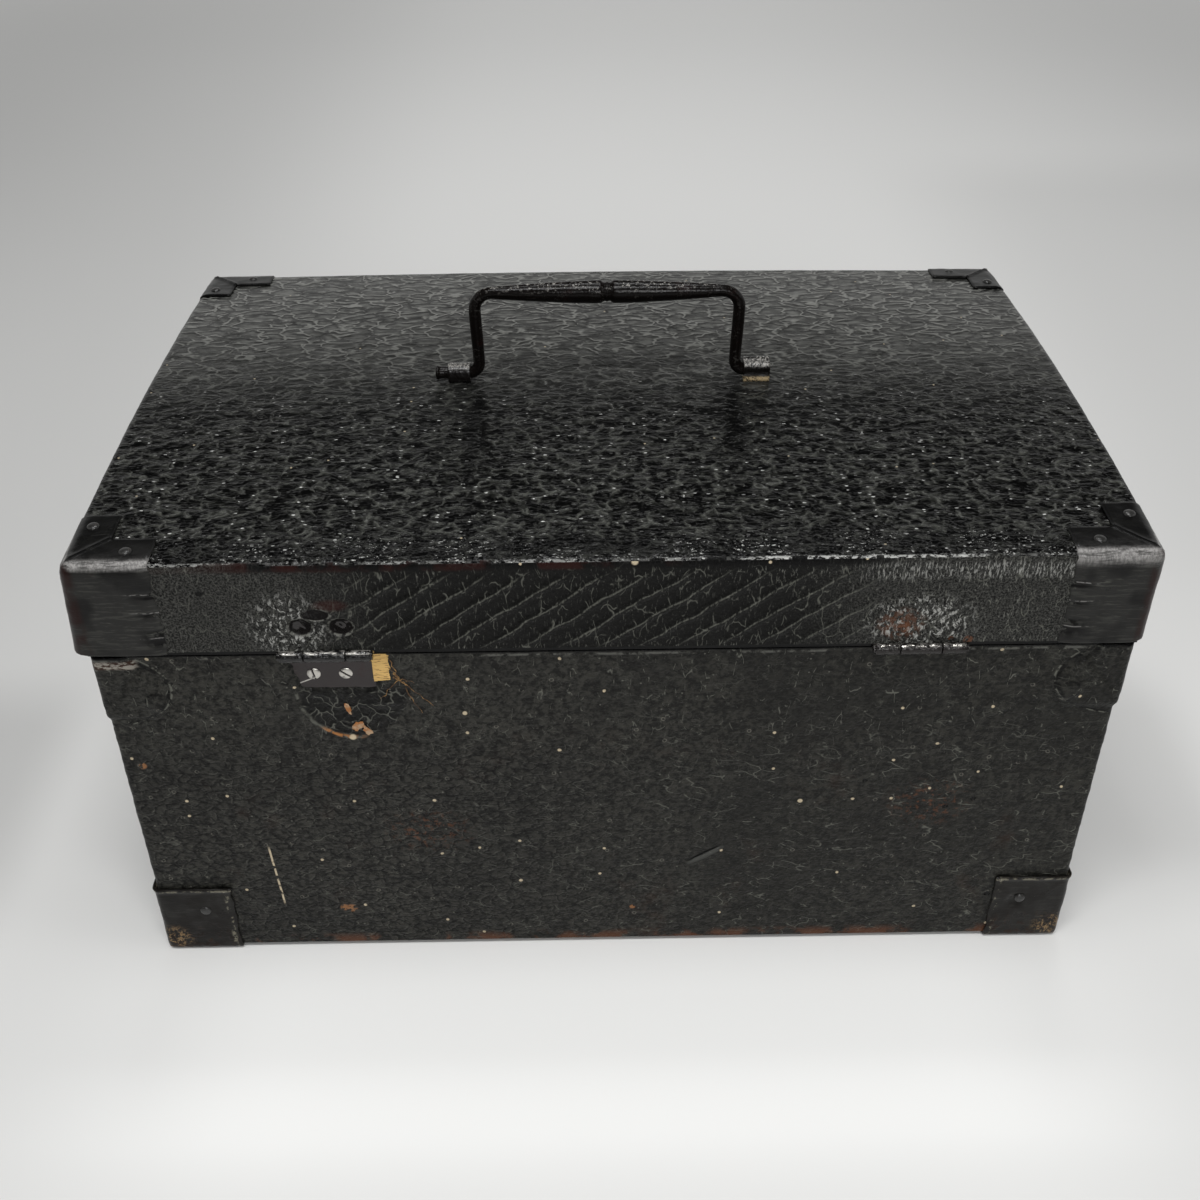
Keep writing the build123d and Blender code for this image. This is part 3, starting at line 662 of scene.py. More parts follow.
def top_lacquer(net, point):
    """Thick glossy lacquer that has crept into folds, coarser and sharper towards the hinge side. Its colour also
    holds painted light: a paler far half as a painted reflection of the background, painted shade and highlights on
    the folds, painted glints, and a painted highlight along the hinge side edge.
    """
    c = palette()
    x, y = net.parts(point)[:2]
    near = net.fall(y, -110.0, 70.0)
    front = net.fall(y, -131.0, -96.0)
    far = net.ramp(y, -35.0, 85.0)
    wide = net.point(x * 0.60, y, 0.0)
    longer = net.point(x * 0.34, y, 0.0)
    crest, slope = creases(net, wide, 4.0, 0.95, 0.13)
    fine_crest, fine_slope = creases(net, wide, 2.0, 0.8, 0.18)
    far_crest = creases(net, wide, 6.4, 1.3, 0.13)[0]
    far_shade = creases(net, net.shift(wide, (0.0, 1.3, 0.0)), 6.4, 1.3, 0.36)[0]
    broken = net.patches(point, 5.0, 0.42, 0.56)
    ripple = net.patches(longer, 2.6, 0.44, 0.6, 3.0, 0.6)
    far_broken = net.patches(net.shift(point, (40.0, 9.0, 3.0)), 9.0, 0.41, 0.53, 3.0, 0.6)
    swell = net.noise(longer, 6.5)
    grit = net.noise(point, 0.9, 2.0, 0.6)
    calm = net.noise(point, 55.0)
    rub = discs(net, x, y, 0.5, ((-55.0, -42.0), (4.5, 36.0)), ((51.0, -36.0), (5.5, 32.0)))
    glint = flecks(net, net.point(x * 0.45, y, 0.0), 2.0, 0.34, 0.20)
    glint = glint * net.fall(y, -80.0, 45.0) * net.patches(point, 11.0, 0.44, 0.6, 3.0)
    glint = glint * (0.12 + 0.88 * net.ramp(crest, 0.10, 0.55))
    height = (0.03 + 0.22 * near) * crest * broken + (0.02 + 0.10 * near) * slope + 0.25 * glint
    height = height + (0.03 + 0.08 * front) * near * fine_crest + 0.04 * near * fine_slope
    height = height + 0.04 * far_crest * far_broken + 0.14 * swell + (0.006 + 0.02 * near) * grit
    height = height * (0.8 + 0.4 * calm)
    lit_face = creases(net, net.shift(wide, (0.0, 0.75, 0.0)), 4.0, 0.95, 0.24)[0]
    uneven = 0.4 + 0.6 * net.patches(point, 3.0, 0.42, 0.58, 3.0)
    # Painted highlight on the folds' crests and on their lit faces, dimmed at the very front edge
    crest_highlight = 0.82 * crest * broken * near * uneven + 0.42 * lit_face * (1.0 - crest) * broken * near * uneven
    crest_highlight = crest_highlight + 0.06 * fine_crest * broken * near + (0.15 + 0.55 * far) * far_crest * far_broken
    paint = Paint(net, c["lacquer"])
    # Painted reflection: the far half of the top is paler, as if it reflected the pale background at a low angle
    paint.coat((0.34 + 0.5 * ripple) * far, (0.112, 0.113, 0.105, 1.0))
    # Painted shade along one side of the far folds
    paint.coat(0.88 * far_shade * far, SHADE_BLACK)
    paint.coat(crest_highlight * (1.0 - 0.6 * net.ramp(-y, 113.0, 123.0)), c["fold"])
    # Painted highlight along the crests of the far folds
    paint.coat(0.46 * far_crest * far_broken * far, (0.26, 0.26, 0.245, 1.0))
    # Painted glints: white glitter along the hinge side edge, and white flecks on the crests of the folds
    spark = net.streaks(point, (0.6, 1.0, 1.0), 1.1, 3.0, 0.7)
    spark = net.ramp(spark, 0.6, 0.67) * net.ramp(-y, 112.0, 123.0) * net.patches(point, 16.0, 0.42, 0.56)
    paint.coat(0.8 * spark, HIGHLIGHT_GREY)
    paint.coat(0.9 * glint, (0.62, 0.62, 0.6, 1.0))
    # Painted highlight: a pale ragged line along the top's hinge side edge, strongest on the right
    ragged = net.streaks(point, (0.45, 1.0, 1.0), 1.0, 3.0, 0.7)
    patchy = 0.25 + 0.75 * net.patches(point, 30.0, 0.4, 0.55)
    right_run = net.band(x, 46.0, 132.0, 8.0)
    patchy = net.most(0.55 * patchy, right_run)
    edge = net.ramp(-y, 129.8, 130.7) * net.ramp(ragged, 0.44, 0.56) * patchy
    paint.coat(0.8 * edge, HIGHLIGHT_GREY)
    paint.coat(0.8 * rub, grey(0.0012))
    fleck = flecks(net, net.point(x, y, 0.0), 14.0, 0.06, 0.04)
    paint.coat(0.5 * fleck, c["cream"])
    roughness = 0.15 + 0.08 * calm + 0.05 * (1.0 - near)
    return {"colour": paint.colour, "roughness": roughness, "height": height}


def slants(net, x, z):
    """Slanting wrinkles on the hinge side of the lid: a broad swell and its thin crest."""
    wander = 5.0 * net.noise(net.point(x, 0.0, z), 16.0, 3.0)
    across = (z * 0.82 - x * 0.57 + wander) / 8.4
    nearest = abs(net.math("FRACT", across) - 0.5)
    place = net.band(x, -96.0, 94.0, 7.0) * net.band(z, 169.0, 199.0, 4.0)
    return net.ramp(nearest, 0.22, 0.5) * place, net.ramp(nearest, 0.43, 0.5) * place


def lid_side_lacquer(net, point):
    """The lid's four sides: fine upright crackle, slanting wrinkles and the crumpled lumps over the hinges, with
    painted glints and highlights, and painted shade in the dents.
    """
    c = palette()
    x, y, z = net.parts(point)
    flat = net.flat(point)
    along, up = net.parts(flat)[:2]
    hinge_side = net.math("LESS_THAN", y, 0.0)
    crack = creases(net, net.point(along, up * 0.45, 0.0), 4.6, 1.0, 0.06)[0]
    gate = net.patches(point, 6.0, 0.48, 0.58, 3.0, 0.65)
    upright = net.streaks(point, (1.0, 1.0, 0.25), 0.9, 3.0, 0.75)
    mottle = net.noise(point, 1.7, 3.0, 0.6)
    upper = net.ramp(z, 189.0, 204.0) * (0.30 + 0.70 * net.ramp(x, -40.0, 90.0))
    lower = net.fall(z, 166.0, 173.0) * 0.6
    glossy_end = net.ramp(x, 70.0, 125.0) * hinge_side
    slant, slant_crest = slants(net, x, z)
    slant_crest = slant_crest * hinge_side
    left_blob = net.disc(x, z, (-121.0, 178.0), (13.0, 13.0), 0.45)
    right_blob = net.disc(x, z, (114.0, 176.5), (19.0, 11.5), 0.3)
    blob = (left_blob + right_blob) * hinge_side
    crumple = net.noise(net.stray(point, 5.0, 2.0), 2.6, 3.0, 0.6)
    rough_here = net.math("MINIMUM", 0.30 + upper + lower + 0.6 * glossy_end, 1.2)
    height = 0.40 * upright * rough_here + 0.30 * mottle + 0.08 * crack * gate + 0.25 * slant * hinge_side
    height = height + 1.5 * crumple * blob + 0.3 * net.noise(point, 5.0)
    light = (0.19, 0.19, 0.17, 1.0)
    left_end = net.fall(x, -130.0, -80.0)
    ends = net.most(left_end, net.ramp(x, 60.0, 110.0))
    haze = net.patches(point, 0.8, 0.36, 0.72, 3.0, 0.7) * (0.07 + 0.83 * ends)
    paint = Paint(net, c["side"])
    paint.coat(haze, (0.07, 0.07, 0.064, 1.0))
    paint.coat(0.55 * crack * gate * (1.0 - 0.4 * left_end), c["crack"])
    paint.coat(0.55 * slant_crest * net.ramp(upright, 0.35, 0.55), c["crack"])
    # Painted glints: pale upright streaks in the rough bands, mostly near the top edge and towards the right
    paint.coat(0.55 * net.ramp(upright, 0.58, 0.68) * rough_here, light)
    streak = net.ramp(net.streaks(net.stray(point, 6.0, 2.5), (1.0, 1.0, 0.45), 1.3, 3.0, 0.7), 0.52, 0.62)
    # Painted glints: pale streaks over the crumpled lumps over the hinges
    paint.coat(0.85 * streak * blob, GLINT_GREY)
    under = net.ramp(z, 201.6, 203.2)
    middle_run = net.band(x, -140.0, 100.0, 14.0)
    paint.coat(0.9 * under * middle_run, grey(0.0015))
    maroon = under * net.patches(point, 26.0, 0.44, 0.56, 4.0, 0.6) * (0.3 + 0.7 * middle_run)
    # Painted glints in a strip under the top edge at the right end
    upright_glints = (
        net.band(z, 196.5, 203.0, 1.5) * net.ramp(x, 84.0, 104.0) * hinge_side * net.ramp(upright, 0.5, 0.6)
    )
    paint.coat(0.55 * upright_glints, GLINT_GREY)
    strip = net.disc(x, z, (-104.5, 187.5), (6.0, 2.4), 0.4) * hinge_side * 0.5
    paint.coat(net.most(0.5 * maroon * net.fall(x, 5.0, 30.0), strip), c["undercoat"])
    ragged = net.streaks(point, (0.45, 1.0, 1.0), 1.0, 3.0, 0.7)
    right_run = net.band(x, 46.0, 132.0, 8.0)
    # Painted highlight along the sides' top edge, strongest on the right
    edge = net.ramp(z, 205.5, 206.0) * net.ramp(ragged, 0.47, 0.58) * net.patches(point, 30.0, 0.4, 0.54)
    paint.coat((0.45 + 0.4 * right_run) * edge, (0.42, 0.42, 0.4, 1.0))
    hollow, rim = None, None
    hollows = (
        ((-116.5, 177.5), (4.6, 4.0)), ((-101.5, 177.5), (4.8, 3.9)), ((-110.0, 183.5), (5.4, 2.6)),
    )
    for place, radius in hollows:
        inside = net.disc(x, z, place, radius, 0.18)
        outline = net.ring(x, z, place, radius, 0.10)
        hollow = inside if hollow is None else net.most(hollow, inside)
        rim = outline if rim is None else net.most(rim, outline)
    # Painted shade inside the dents
    paint.coat(0.95 * hollow * hinge_side, (0.003, 0.002, 0.002, 1.0))
    # Painted highlight on the dents' rims
    paint.coat(0.6 * rim * hinge_side * net.ramp(mottle, 0.42, 0.55), light)
    # Painted highlight round the rim of the raised screw head at the right
    around = net.ring(x, z, (122.7, 172.7), (4.2, 4.0), 0.16) * net.ramp(mottle, 0.40, 0.50)
    paint.coat(0.55 * around * streak * hinge_side, (0.45, 0.45, 0.42, 1.0))
    browned = net.disc(x, z, (106.5, 176.0), (8.0, 6.5), 0.4) * net.patches(point, 2.0, 0.42, 0.56, 3.0)
    paint.coat(0.45 * browned * hinge_side, c["rust"])
    mark = spots(net, x, z, ((7.2, 205.0, 1.2), (-34.0, 204.8, 0.5), (56.0, 204.2, 0.6), (91.0, 205.2, 0.5)))
    paint.coat(0.85 * mark * hinge_side, c["cream"])
    pit = spots(net, x, z, ((-151.0, 193.6, 1.2),)) * hinge_side
    paint.coat(0.9 * pit, SHADE_BLACK)
    spotted = spots(net, x, z, ((132.8, 168.0, 1.8), (107.4, 175.2, 2.4), (126.0, 169.0, 1.0)))
    spotted = spotted * net.patches(point, 1.6, 0.4, 0.55, 3.0)
    paint.coat(0.7 * spotted * hinge_side, c["rust"])
    roughness = (
        0.27 + 0.12 * net.noise(point, 20.0, 3.0) - 0.1 * blob - 0.05 * glossy_end + 0.4 * hollow * hinge_side
    )
    height = height - 0.6 * hollow * hinge_side - 0.8 * pit
    return {"colour": paint.colour, "roughness": roughness, "height": height}


def stain_place(net, x, z):
    """The half round scar under the left hinge leaf: its inside and its rim."""
    wandered_x = x + 2.2 * net.sway(net.point(x, 0.0, z), 5.0)
    across = (wandered_x + 101.0) / 22.5
    along = (z - 147.0) / 25.5
    away = net.math("SQRT", across * across + along * along)
    below = net.fall(z, 144.0, 148.0)
    inside = net.fall(away, 0.9, 1.0) * below
    rim = net.band(away, 0.955, 1.005, 0.02) * below * net.fall(x, -104.0, -94.0)
    return inside, rim


def body_lacquer(net, point):
    """Thin dull lacquer with cracks, flecks and pinholes, the scar under the left hinge and the worn rim, with
    painted light and shade on the leathery creases, round a patch's crease and nail bump, under a flap, along the rim
    and in the gap under the lid.
    """
    c = palette()
    x, y, z = net.parts(point)
    flat = net.flat(point)
    along, up = net.parts(flat)[:2]
    hinge_side = net.math("LESS_THAN", y, 0.0)
    upper = net.ramp(z, 96.0, 140.0)
    slanting = net.point(along * 0.50 + up * 0.72, up * 0.82 - along * 0.18, 0.0)
    net_crack = creases(net, slanting, 6.0, 1.0, 0.045)[0]
    upright_crack = creases(net, net.point(along, up * 0.36, 0.0), 5.0, 0.9, 0.045)[0]
    fine_crack, fine_slope = creases(net, flat, 2.4, 0.8, 0.10)
    gate = net.patches(point, 7.5, 0.5, 0.6, 3.0, 0.65)
    upright_gate = net.patches(point, 5.0, 0.54, 0.62, 3.0, 0.65)
    cracks = net.most(net_crack * gate * (1.0 - 0.7 * upper), upright_crack * upright_gate * (0.25 + upper))
    grain = net.noise(point, 0.9, 2.0, 0.7)
    mottle = net.noise(point, 2.2, 3.0, 0.6)
    brushed = net.streaks(point, (0.12, 0.12, 1.0), 1.3, 2.0, 0.6)
    inside, rim = stain_place(net, x, z)
    inside = inside * hinge_side
    rim = rim * hinge_side
    web, web_slope = creases(net, flat, 5.5, 0.8, 0.07)
    height = 0.12 * cracks + 0.10 * fine_slope + 0.34 * mottle + 0.11 * grain + 0.08 * brushed
    height = height + 0.35 * net.noise(point, 7.0) + 0.35 * inside * web_slope
    haze = net.ramp(mottle, 0.42, 0.66) * (0.35 + 0.65 * net.patches(point, 40.0, 0.35, 0.6))
    uneven = 0.26 - 0.17 * net.ramp(x, -60.0, 60.0)
    paint = Paint(net, c["side"])
    paint.coat(0.11 + uneven * net.ramp(mottle, 0.35, 0.6), (0.05, 0.049, 0.043, 1.0))
    paint.coat(0.3 * haze, (0.06, 0.058, 0.048, 1.0))
    leather = net.fall(x, -60.0, 80.0) * (1.0 - 0.6 * upper) * hinge_side
    creased = net.point(along * 0.62 + up * 0.66, up * 0.86 - along * 0.30, 0.0)
    crease = creases(net, creased, 4.2, 0.9, 0.20)[0]
    lit = creases(net, net.shift(creased, (0.1, -0.42, 0.0)), 4.2, 0.9, 0.12)[0]
    # Painted light and shade on the leathery creases: a lit face beside each crease, then painted shade in the crease
    paint.coat(0.45 * lit * leather * net.ramp(mottle, 0.36, 0.6), (0.11, 0.108, 0.095, 1.0))
    paint.coat(0.85 * crease * leather, grey(0.0006))
    paint.coat(0.12 * net.ramp(brushed, 0.56, 0.66), (0.06, 0.06, 0.054, 1.0))
    away_x = abs(x)
    arc = net.ring(away_x, z, (200.0, 147.0), (29.0, 17.5), 0.035) * net.patches(point, 4.0, 0.4, 0.5, 3.0)
    bump_ring = net.ring(away_x, z, (176.0, 142.0), (4.2, 4.2), 0.12) * net.patches(point, 2.5, 0.42, 0.52)
    glimmer = net.ring(away_x, z, (200.5, 147.4), (30.6, 18.6), 0.014) * net.patches(point, 2.2, 0.48, 0.56, 3.0)
    # Painted shade along the patch's curved crease and round the nail bump, then a painted highlight just outside the
    # crease
    paint.coat(0.85 * net.most(arc, bump_ring), SHADE_BLACK)
    paint.coat(0.6 * glimmer, c["crack"])
    paint.coat(0.62 * cracks * (1.0 - 0.5 * leather), c["crack"])
    paint.coat(0.14 * fine_crack * gate, c["crack"])
    brown = bloom(net, point, 34.0, 0.43, 0.2) * (1.0 - upper)
    paint.coat(0.1 * brown, c["rust"])
    paint.coat(0.8 * inside, grey(0.003))
    paint.coat(0.6 * web * inside * net.patches(point, 5.0, 0.36, 0.52), c["crack"])
    paint.coat(0.55 * rim * net.patches(point, 4.0, 0.4, 0.55), c["crack"])
    glued = net.disc(x, z, (-108.0, 123.0), (10.0, 4.5), 0.4) * net.patches(point, 3.0, 0.36, 0.5)
    paint.coat(0.9 * rim * glued, c["orange"])
    fleck = flecks(net, flat, 17.0, 0.20, 0.050)
    tiny = flecks(net, net.shift(flat, (31.0, 7.0, 0.0)), 8.0, 0.14, 0.06)
    around = net.shift(flat, (11.0, 23.0, 0.0))
    blister = flecks(net, around, 11.0, 0.16, 0.10)
    blister = blister - flecks(net, around, 11.0, 0.16, 0.065)
    paint.coat(0.45 * blister * net.ramp(mottle, 0.38, 0.52), (0.22, 0.21, 0.18, 1.0))
    paint.coat(0.35 * tiny, (0.22, 0.22, 0.19, 1.0))
    paint.coat(0.85 * fleck * (0.4 + 0.6 * hinge_side), c["cream"])
    slit = line(net, x, z, (-144.8, 61.0), (-142.6, 28.0), 0.55) * net.patches(point, 3.0, 0.38, 0.5)
    chip = spots(net, x, z, ((-103.1, 122.0, 1.3), (-58.3, 133.5, 0.9), (76.5, 84.0, 1.0), (-40.0, 39.6, 0.8)))
    tan = spots(net, x, z, ((-188.3, 108.3, 1.5), (-114.0, 24.0, 2.2), (-117.0, 24.5, 1.8), (8.0, 22.0, 1.2)))
    tan = tan * net.patches(point, 1.8, 0.4, 0.5, 3.0) * hinge_side
    paint.coat(0.75 * tan, (0.28, 0.13, 0.055, 1.0))
    paint.coat(0.85 * net.most(slit, chip) * hinge_side, c["cream"])
    pins = spots(net, x, z, ((147.9, 84.0, 1.1), (137.0, 79.7, 1.0), (162.7, 27.0, 1.2), (102.2, 94.9, 0.9)))
    paint.coat(0.9 * pins * hinge_side, grey(0.002))
    flap_x = (x - 38.6) * 0.83 + (z - 53.4) * 0.56
    flap_z = (z - 53.4) * 0.83 - (x - 38.6) * 0.56
    flap = net.disc(flap_x, flap_z, (0.0, 0.0), (8.4, 1.5), 0.25) * hinge_side
    flap_shadow = net.disc(flap_x, flap_z, (0.6, 1.5), (8.0, 0.75), 0.4) * hinge_side
    paint.coat(0.55 * flap, (0.085, 0.087, 0.08, 1.0))
    # Painted shadow under the lifted flap
    paint.coat(0.9 * flap_shadow, SHADE_BLACK)
    rusted = discs(net, x, z, 0.7, ((130.0, 82.0), (13.0, 10.0)), ((-77.0, 70.0), (14.0, 9.0)))
    rusted = rusted * net.patches(point, 3.0, 0.52, 0.62, 4.0, 0.7) * hinge_side
    paint.coat(0.6 * rusted, c["rust"])
    foot = net.fall(z, 3.5, 9.0) * net.patches(point, 12.0, 0.47, 0.58, 4.0, 0.6)
    paint.coat(0.6 * foot, c["rust"])
    # The pale line under the rim is partly wear and partly a painted highlight on the rim's rounded edge
    rim_wear_and_highlight = net.band(z, 161.4, 162.4, 0.4) * net.patches(point, 6.0, 0.46, 0.58, 4.0, 0.65)
    paint.coat(0.6 * rim_wear_and_highlight, (0.16, 0.16, 0.145, 1.0))
    # Painted shade: the top of the body under the lid's overhang is black, as the shade in the gap between lid and
    # body
    paint.coat(net.ramp(z, 162.6, 163.2), SHADE_BLACK)
    bared = net.band(x, -197.5, -181.0, 1.5) * net.band(z, 158.2, 161.6, 0.6) * net.ramp(-y, 120.0, 124.0)
    rubbed = net.ramp(net.streaks(point, (0.4, 1.0, 1.5), 1.4, 3.0, 0.65), 0.44, 0.56)
    paint.coat(0.8 * bared, (0.04, 0.017, 0.01, 1.0))
    paint.coat(0.8 * bared * rubbed, (0.33, 0.31, 0.27, 1.0))
    height = height - 0.8 * pins * hinge_side - 0.3 * fleck + 0.8 * flap
    roughness = 0.30 + 0.12 * net.noise(point, 25.0, 3.0) + 0.12 * brown - 0.08 * inside
    return {"colour": paint.colour, "roughness": roughness, "height": height}


def cap_iron(net, point):
    """Blackened sheet iron: brushed along the case, rust brown on its outer edge and at the foot, with a painted
    highlight along the lid caps' top edge, and painted shade and highlights at the folds on their inner edges.
    """
    c = palette()
    x, y, z = net.parts(point)
    scratch = scratches(net, point, 6.0, 0.5)
    rust = bloom(net, point, 14.0, 0.42, 0.15)
    outer_x = abs(x)
    outer_y = abs(y)
    brushed = net.streaks(point, (0.1, 0.1, 1.0), 0.8, 3.0, 0.7)
    worn = net.ramp(outer_x + outer_y, 326.0, 329.0) * net.patches(point, 9.0, 0.34, 0.55, 3.0)
    low = net.fall(z, 8.0, 20.0) * net.patches(point, 5.0, 0.5, 0.6, 4.0, 0.7)
    paint = Paint(net, c["iron"])
    paint.coat(0.2 * rust, c["undercoat"])
    paint.coat(0.35 * scratch + 0.14 * net.ramp(brushed, 0.5, 0.64), c["crack"])
    shade = net.noise(point, 18.0)
    paint.coat(0.8 * net.ramp(shade, 0.5, 0.66), grey(0.004))
    # Painted highlight: a bright streaky band along the caps' rounded top edge
    upper = net.ramp(z, 203.6 - 3.6 * net.ramp(x, 0.0, 10.0), 206.0) * net.fall(z, 207.2, 208.4)
    streak = net.streaks(point, (1.0, 1.0, 0.22), 0.8, 3.0, 0.7)
    highlight_band = (
        upper * (0.45 + 0.4 * net.ramp(streak, 0.4, 0.62)) * (0.35 + 0.65 * net.ramp(brushed, 0.38, 0.52))
    )
    paint.coat(highlight_band, (0.34, 0.33, 0.32, 1.0))
    top_leaf = net.ramp(z, 206.8, 207.6)
    paint.coat(0.9 * top_leaf, c["lacquer"])
    level = z + 1.2 * net.noise(point, 8.0)
    wedge = bands(
        net, level, (184.4, 186.0, 0.7), (177.0, 178.8, 0.8), (172.4, 174.2, 0.8), (192.6, 193.6, 0.5),
    )
    wedge = wedge * net.fall(outer_x, 171.0, 178.0) * net.ramp(outer_y, 128.0, 130.0)
    hollow = net.disc(outer_x, z, (169.0, 173.5), (5.5, 4.0), 0.5) * net.patches(point, 3.0, 0.4, 0.52, 3.0)
    hollow = hollow * net.ramp(outer_y, 128.0, 130.0)
    wedge = net.most(wedge, hollow)
    # Painted shade in the folds and in the dent along the caps' inner edges
    paint.coat(0.9 * wedge, grey(0.0008))
    fold_line = bands(net, level, (194.2, 194.6, 0.25), (186.3, 186.7, 0.25), (174.7, 175.0, 0.25))
    fold_line = fold_line * net.fall(outer_x, 172.0, 180.0) * net.patches(point, 2.0, 0.42, 0.55)
    # Painted highlight along the folds' crests
    paint.coat(0.6 * fold_line, (0.3, 0.29, 0.28, 1.0))
    paint.coat(0.9 * worn, (0.014, 0.004, 0.003, 1.0))
    paint.coat(0.25 * low, c["rust"])
    foot_face = net.fall(z, 60.0, 70.0)
    grimy = foot_face * (0.55 + 0.45 * net.patches(point, 7.0, 0.4, 0.6, 3.0))
    paint.coat(0.85 * grimy, (0.0055, 0.0042, 0.0034, 1.0))
    torn = net.band(z, 36.2, 37.6, 0.5) * net.patches(point, 2.2, 0.46, 0.56, 3.0, 0.7)
    torn = torn + foot_face * net.band(outer_x, 166.0, 167.8, 0.6) * net.patches(point, 2.8, 0.52, 0.6, 3.0, 0.7)
    paint.coat(0.55 * torn, (0.27, 0.25, 0.19, 1.0))
    gold = net.disc(outer_x, z, (193.5, 7.5), (7.0, 6.5), 0.5) * net.patches(point, 1.7, 0.5, 0.58, 4.0, 0.8)
    gold = gold * net.ramp(-y, 128.0, 130.0)
    paint.coat(0.8 * gold, (0.26, 0.17, 0.085, 1.0))
    height = 0.2 * net.noise(point, 5.0, 3.0) + 0.03 * net.noise(point, 0.9) + 0.06 * brushed - 0.03 * scratch
    roughness = 0.22 + 0.16 * net.noise(point, 9.0, 3.0) + 0.3 * low
    return {"colour": paint.colour, "roughness": roughness, "height": height + 0.06 * low}


def forged_iron(net, point):
    """Brown black forged iron with pale scratches and chips along the top of the grip, which also stand as a painted
    highlight there.
    """
    c = palette()
    z = net.parts(point)[2]
    scratch = scratches(net, point, 4.0, 0.5)
    upper = net.ramp(z, 252.0, 255.5)
    rust = bloom(net, point, 12.0, 0.42, 0.12)
    chipped = net.patches(point, 1.4, 0.56, 0.64, 3.0, 0.7) * net.patches(point, 9.0, 0.45, 0.55)
    paint = Paint(net, c["forged"])
    paint.coat(0.16 * rust, c["undercoat"])
    # The pale scratches and chips gather on the top of the grip, where they are partly wear and partly a painted
    # highlight
    pale = net.most(0.3 * scratch, 0.45 * chipped) * (0.08 + 0.92 * upper)
    paint.coat(pale, c["bright"])
    height = 0.2 * net.noise(point, 4.0, 3.0) + 0.05 * net.noise(point, 0.8)
    roughness = 0.17 + 0.14 * net.noise(point, 6.0, 3.0)
    return {"colour": paint.colour, "roughness": roughness, "height": height}


def staple_iron(net, point):
    """Black straps with a pale rubbed crest, which is also a painted highlight, and dried glue under the right one.
    """
    c = palette()
    x, _, z = net.parts(point)
    crest = net.ramp(z, 217.4, 219.2)
    right = net.math("GREATER_THAN", x, 0.0)
    glue = net.fall(z, 212.8, 214.2) * net.patches(point, 1.1, 0.44, 0.52, 3.0, 0.7) * right
    streak = net.streaks(point, (1.0, 0.5, 0.5), 0.8, 3.0, 0.7)
    # The pale crest is partly rubbed iron and partly a painted highlight along the straps' tops
    worn = crest * net.ramp(streak, 0.46, 0.60)
    paint = Paint(net, c["forged"])
    paint.coat(0.45 * worn, c["bright"])
    paint.coat(0.8 * glue, (0.55, 0.42, 0.24, 1.0))
    height = 0.18 * net.noise(point, 1.6, 3.0, 0.6)
    roughness = 0.20 + 0.15 * net.noise(point, 4.0, 3.0)
    return {"colour": paint.colour, "roughness": roughness, "height": height}


def hinge_iron(net, point):
    """Plum brown leaves, and black glossy knuckles with a thin pale line along their tops that is partly rubbed metal
    and partly a painted highlight.
    """
    c = palette()
    x, y, z = net.parts(point)
    knuckle = net.fall(y, -130.6, -129.6)
    upper = net.band(z, 166.3, 166.9, 0.25)
    long_noise = net.streaks(point, (0.4, 1.0, 1.0), 1.2, 3.0, 0.7)
    # Painted highlight: a thin pale broken line along the knuckles' tops, partly rubbed metal
    worn = knuckle * upper * net.ramp(long_noise, 0.48, 0.56)
    scratch = scratches(net, point, 5.0, 0.5)
    rust = bloom(net, point, 9.0, 0.45, 0.15)
    score = line(net, x, z, (-121.0, 148.6), (-114.0, 151.6), 0.35)
    paint = Paint(net, c["hinge"])
    paint.coat(0.4 * rust, c["undercoat"])
    paint.coat(0.35 * scratch, c["crack"])
    right = net.math("GREATER_THAN", x, 0.0)
    paint.coat(0.95 * knuckle, net.tint(right, c["lacquer"], (0.016, 0.014, 0.013, 1.0)))
    paint.coat(0.85 * net.most(worn, score), c["bright"])
    height = (
        0.12 * net.noise(point, 3.0, 3.0) + 0.04 * net.noise(point, 0.7) - 0.1 * score
        + 0.5 * knuckle * net.noise(point, 1.6, 3.0)
    )
    roughness = 0.38 + 0.2 * net.noise(point, 8.0, 3.0) - 0.22 * knuckle
    return {
        "colour": paint.colour,
        "roughness": roughness,
        "height": height,
        "metallic": 0.25 * (1.0 - knuckle) + 0.5 * worn + 0.4 * knuckle * right,
    }


def screw_steel(net, point):
    """Bright steel with dirt in patches."""
    c = palette()
    dirt = bloom(net, point, 2.5, 0.42, 0.12)
    paint = Paint(net, c["bright"])
    paint.coat(0.7 * dirt, c["forged"])
    height = 0.06 * net.noise(point, 0.8)
    return {
        "colour": paint.colour,
        "roughness": 0.34 + 0.3 * dirt,
        "height": height,
        "metallic": 1.0 - 0.7 * dirt,
    }


def nail_iron(net, point):
    """Blackened iron with a red brown rust."""
    c = palette()
    rust = bloom(net, point, 5.0, 0.45, 0.15)
    paint = Paint(net, c["iron"])
    paint.coat(0.5 * rust, c["undercoat"])
    return {"colour": paint.colour, "roughness": 0.32 + 0.3 * rust, "height": 0.1 * net.noise(point, 1.5, 3.0)}


def lock_iron(net, point):
    """Scratched iron with patches of rust."""
    c = palette()
    scratch = scratches(net, point, 9.0, 0.45)
    rust = bloom(net, point, 11.0, 0.46, 0.12)
    paint = Paint(net, (0.16, 0.15, 0.135, 1.0))
    paint.coat(0.5 * scratch, c["bright"])
    paint.coat(0.75 * rust, c["rust"])
    height = 0.06 * net.noise(point, 2.0, 3.0) + 0.06 * rust
    metallic = 0.9 - 0.75 * rust
    return {"colour": paint.colour, "roughness": 0.38 + 0.35 * rust, "height": height, "metallic": metallic}


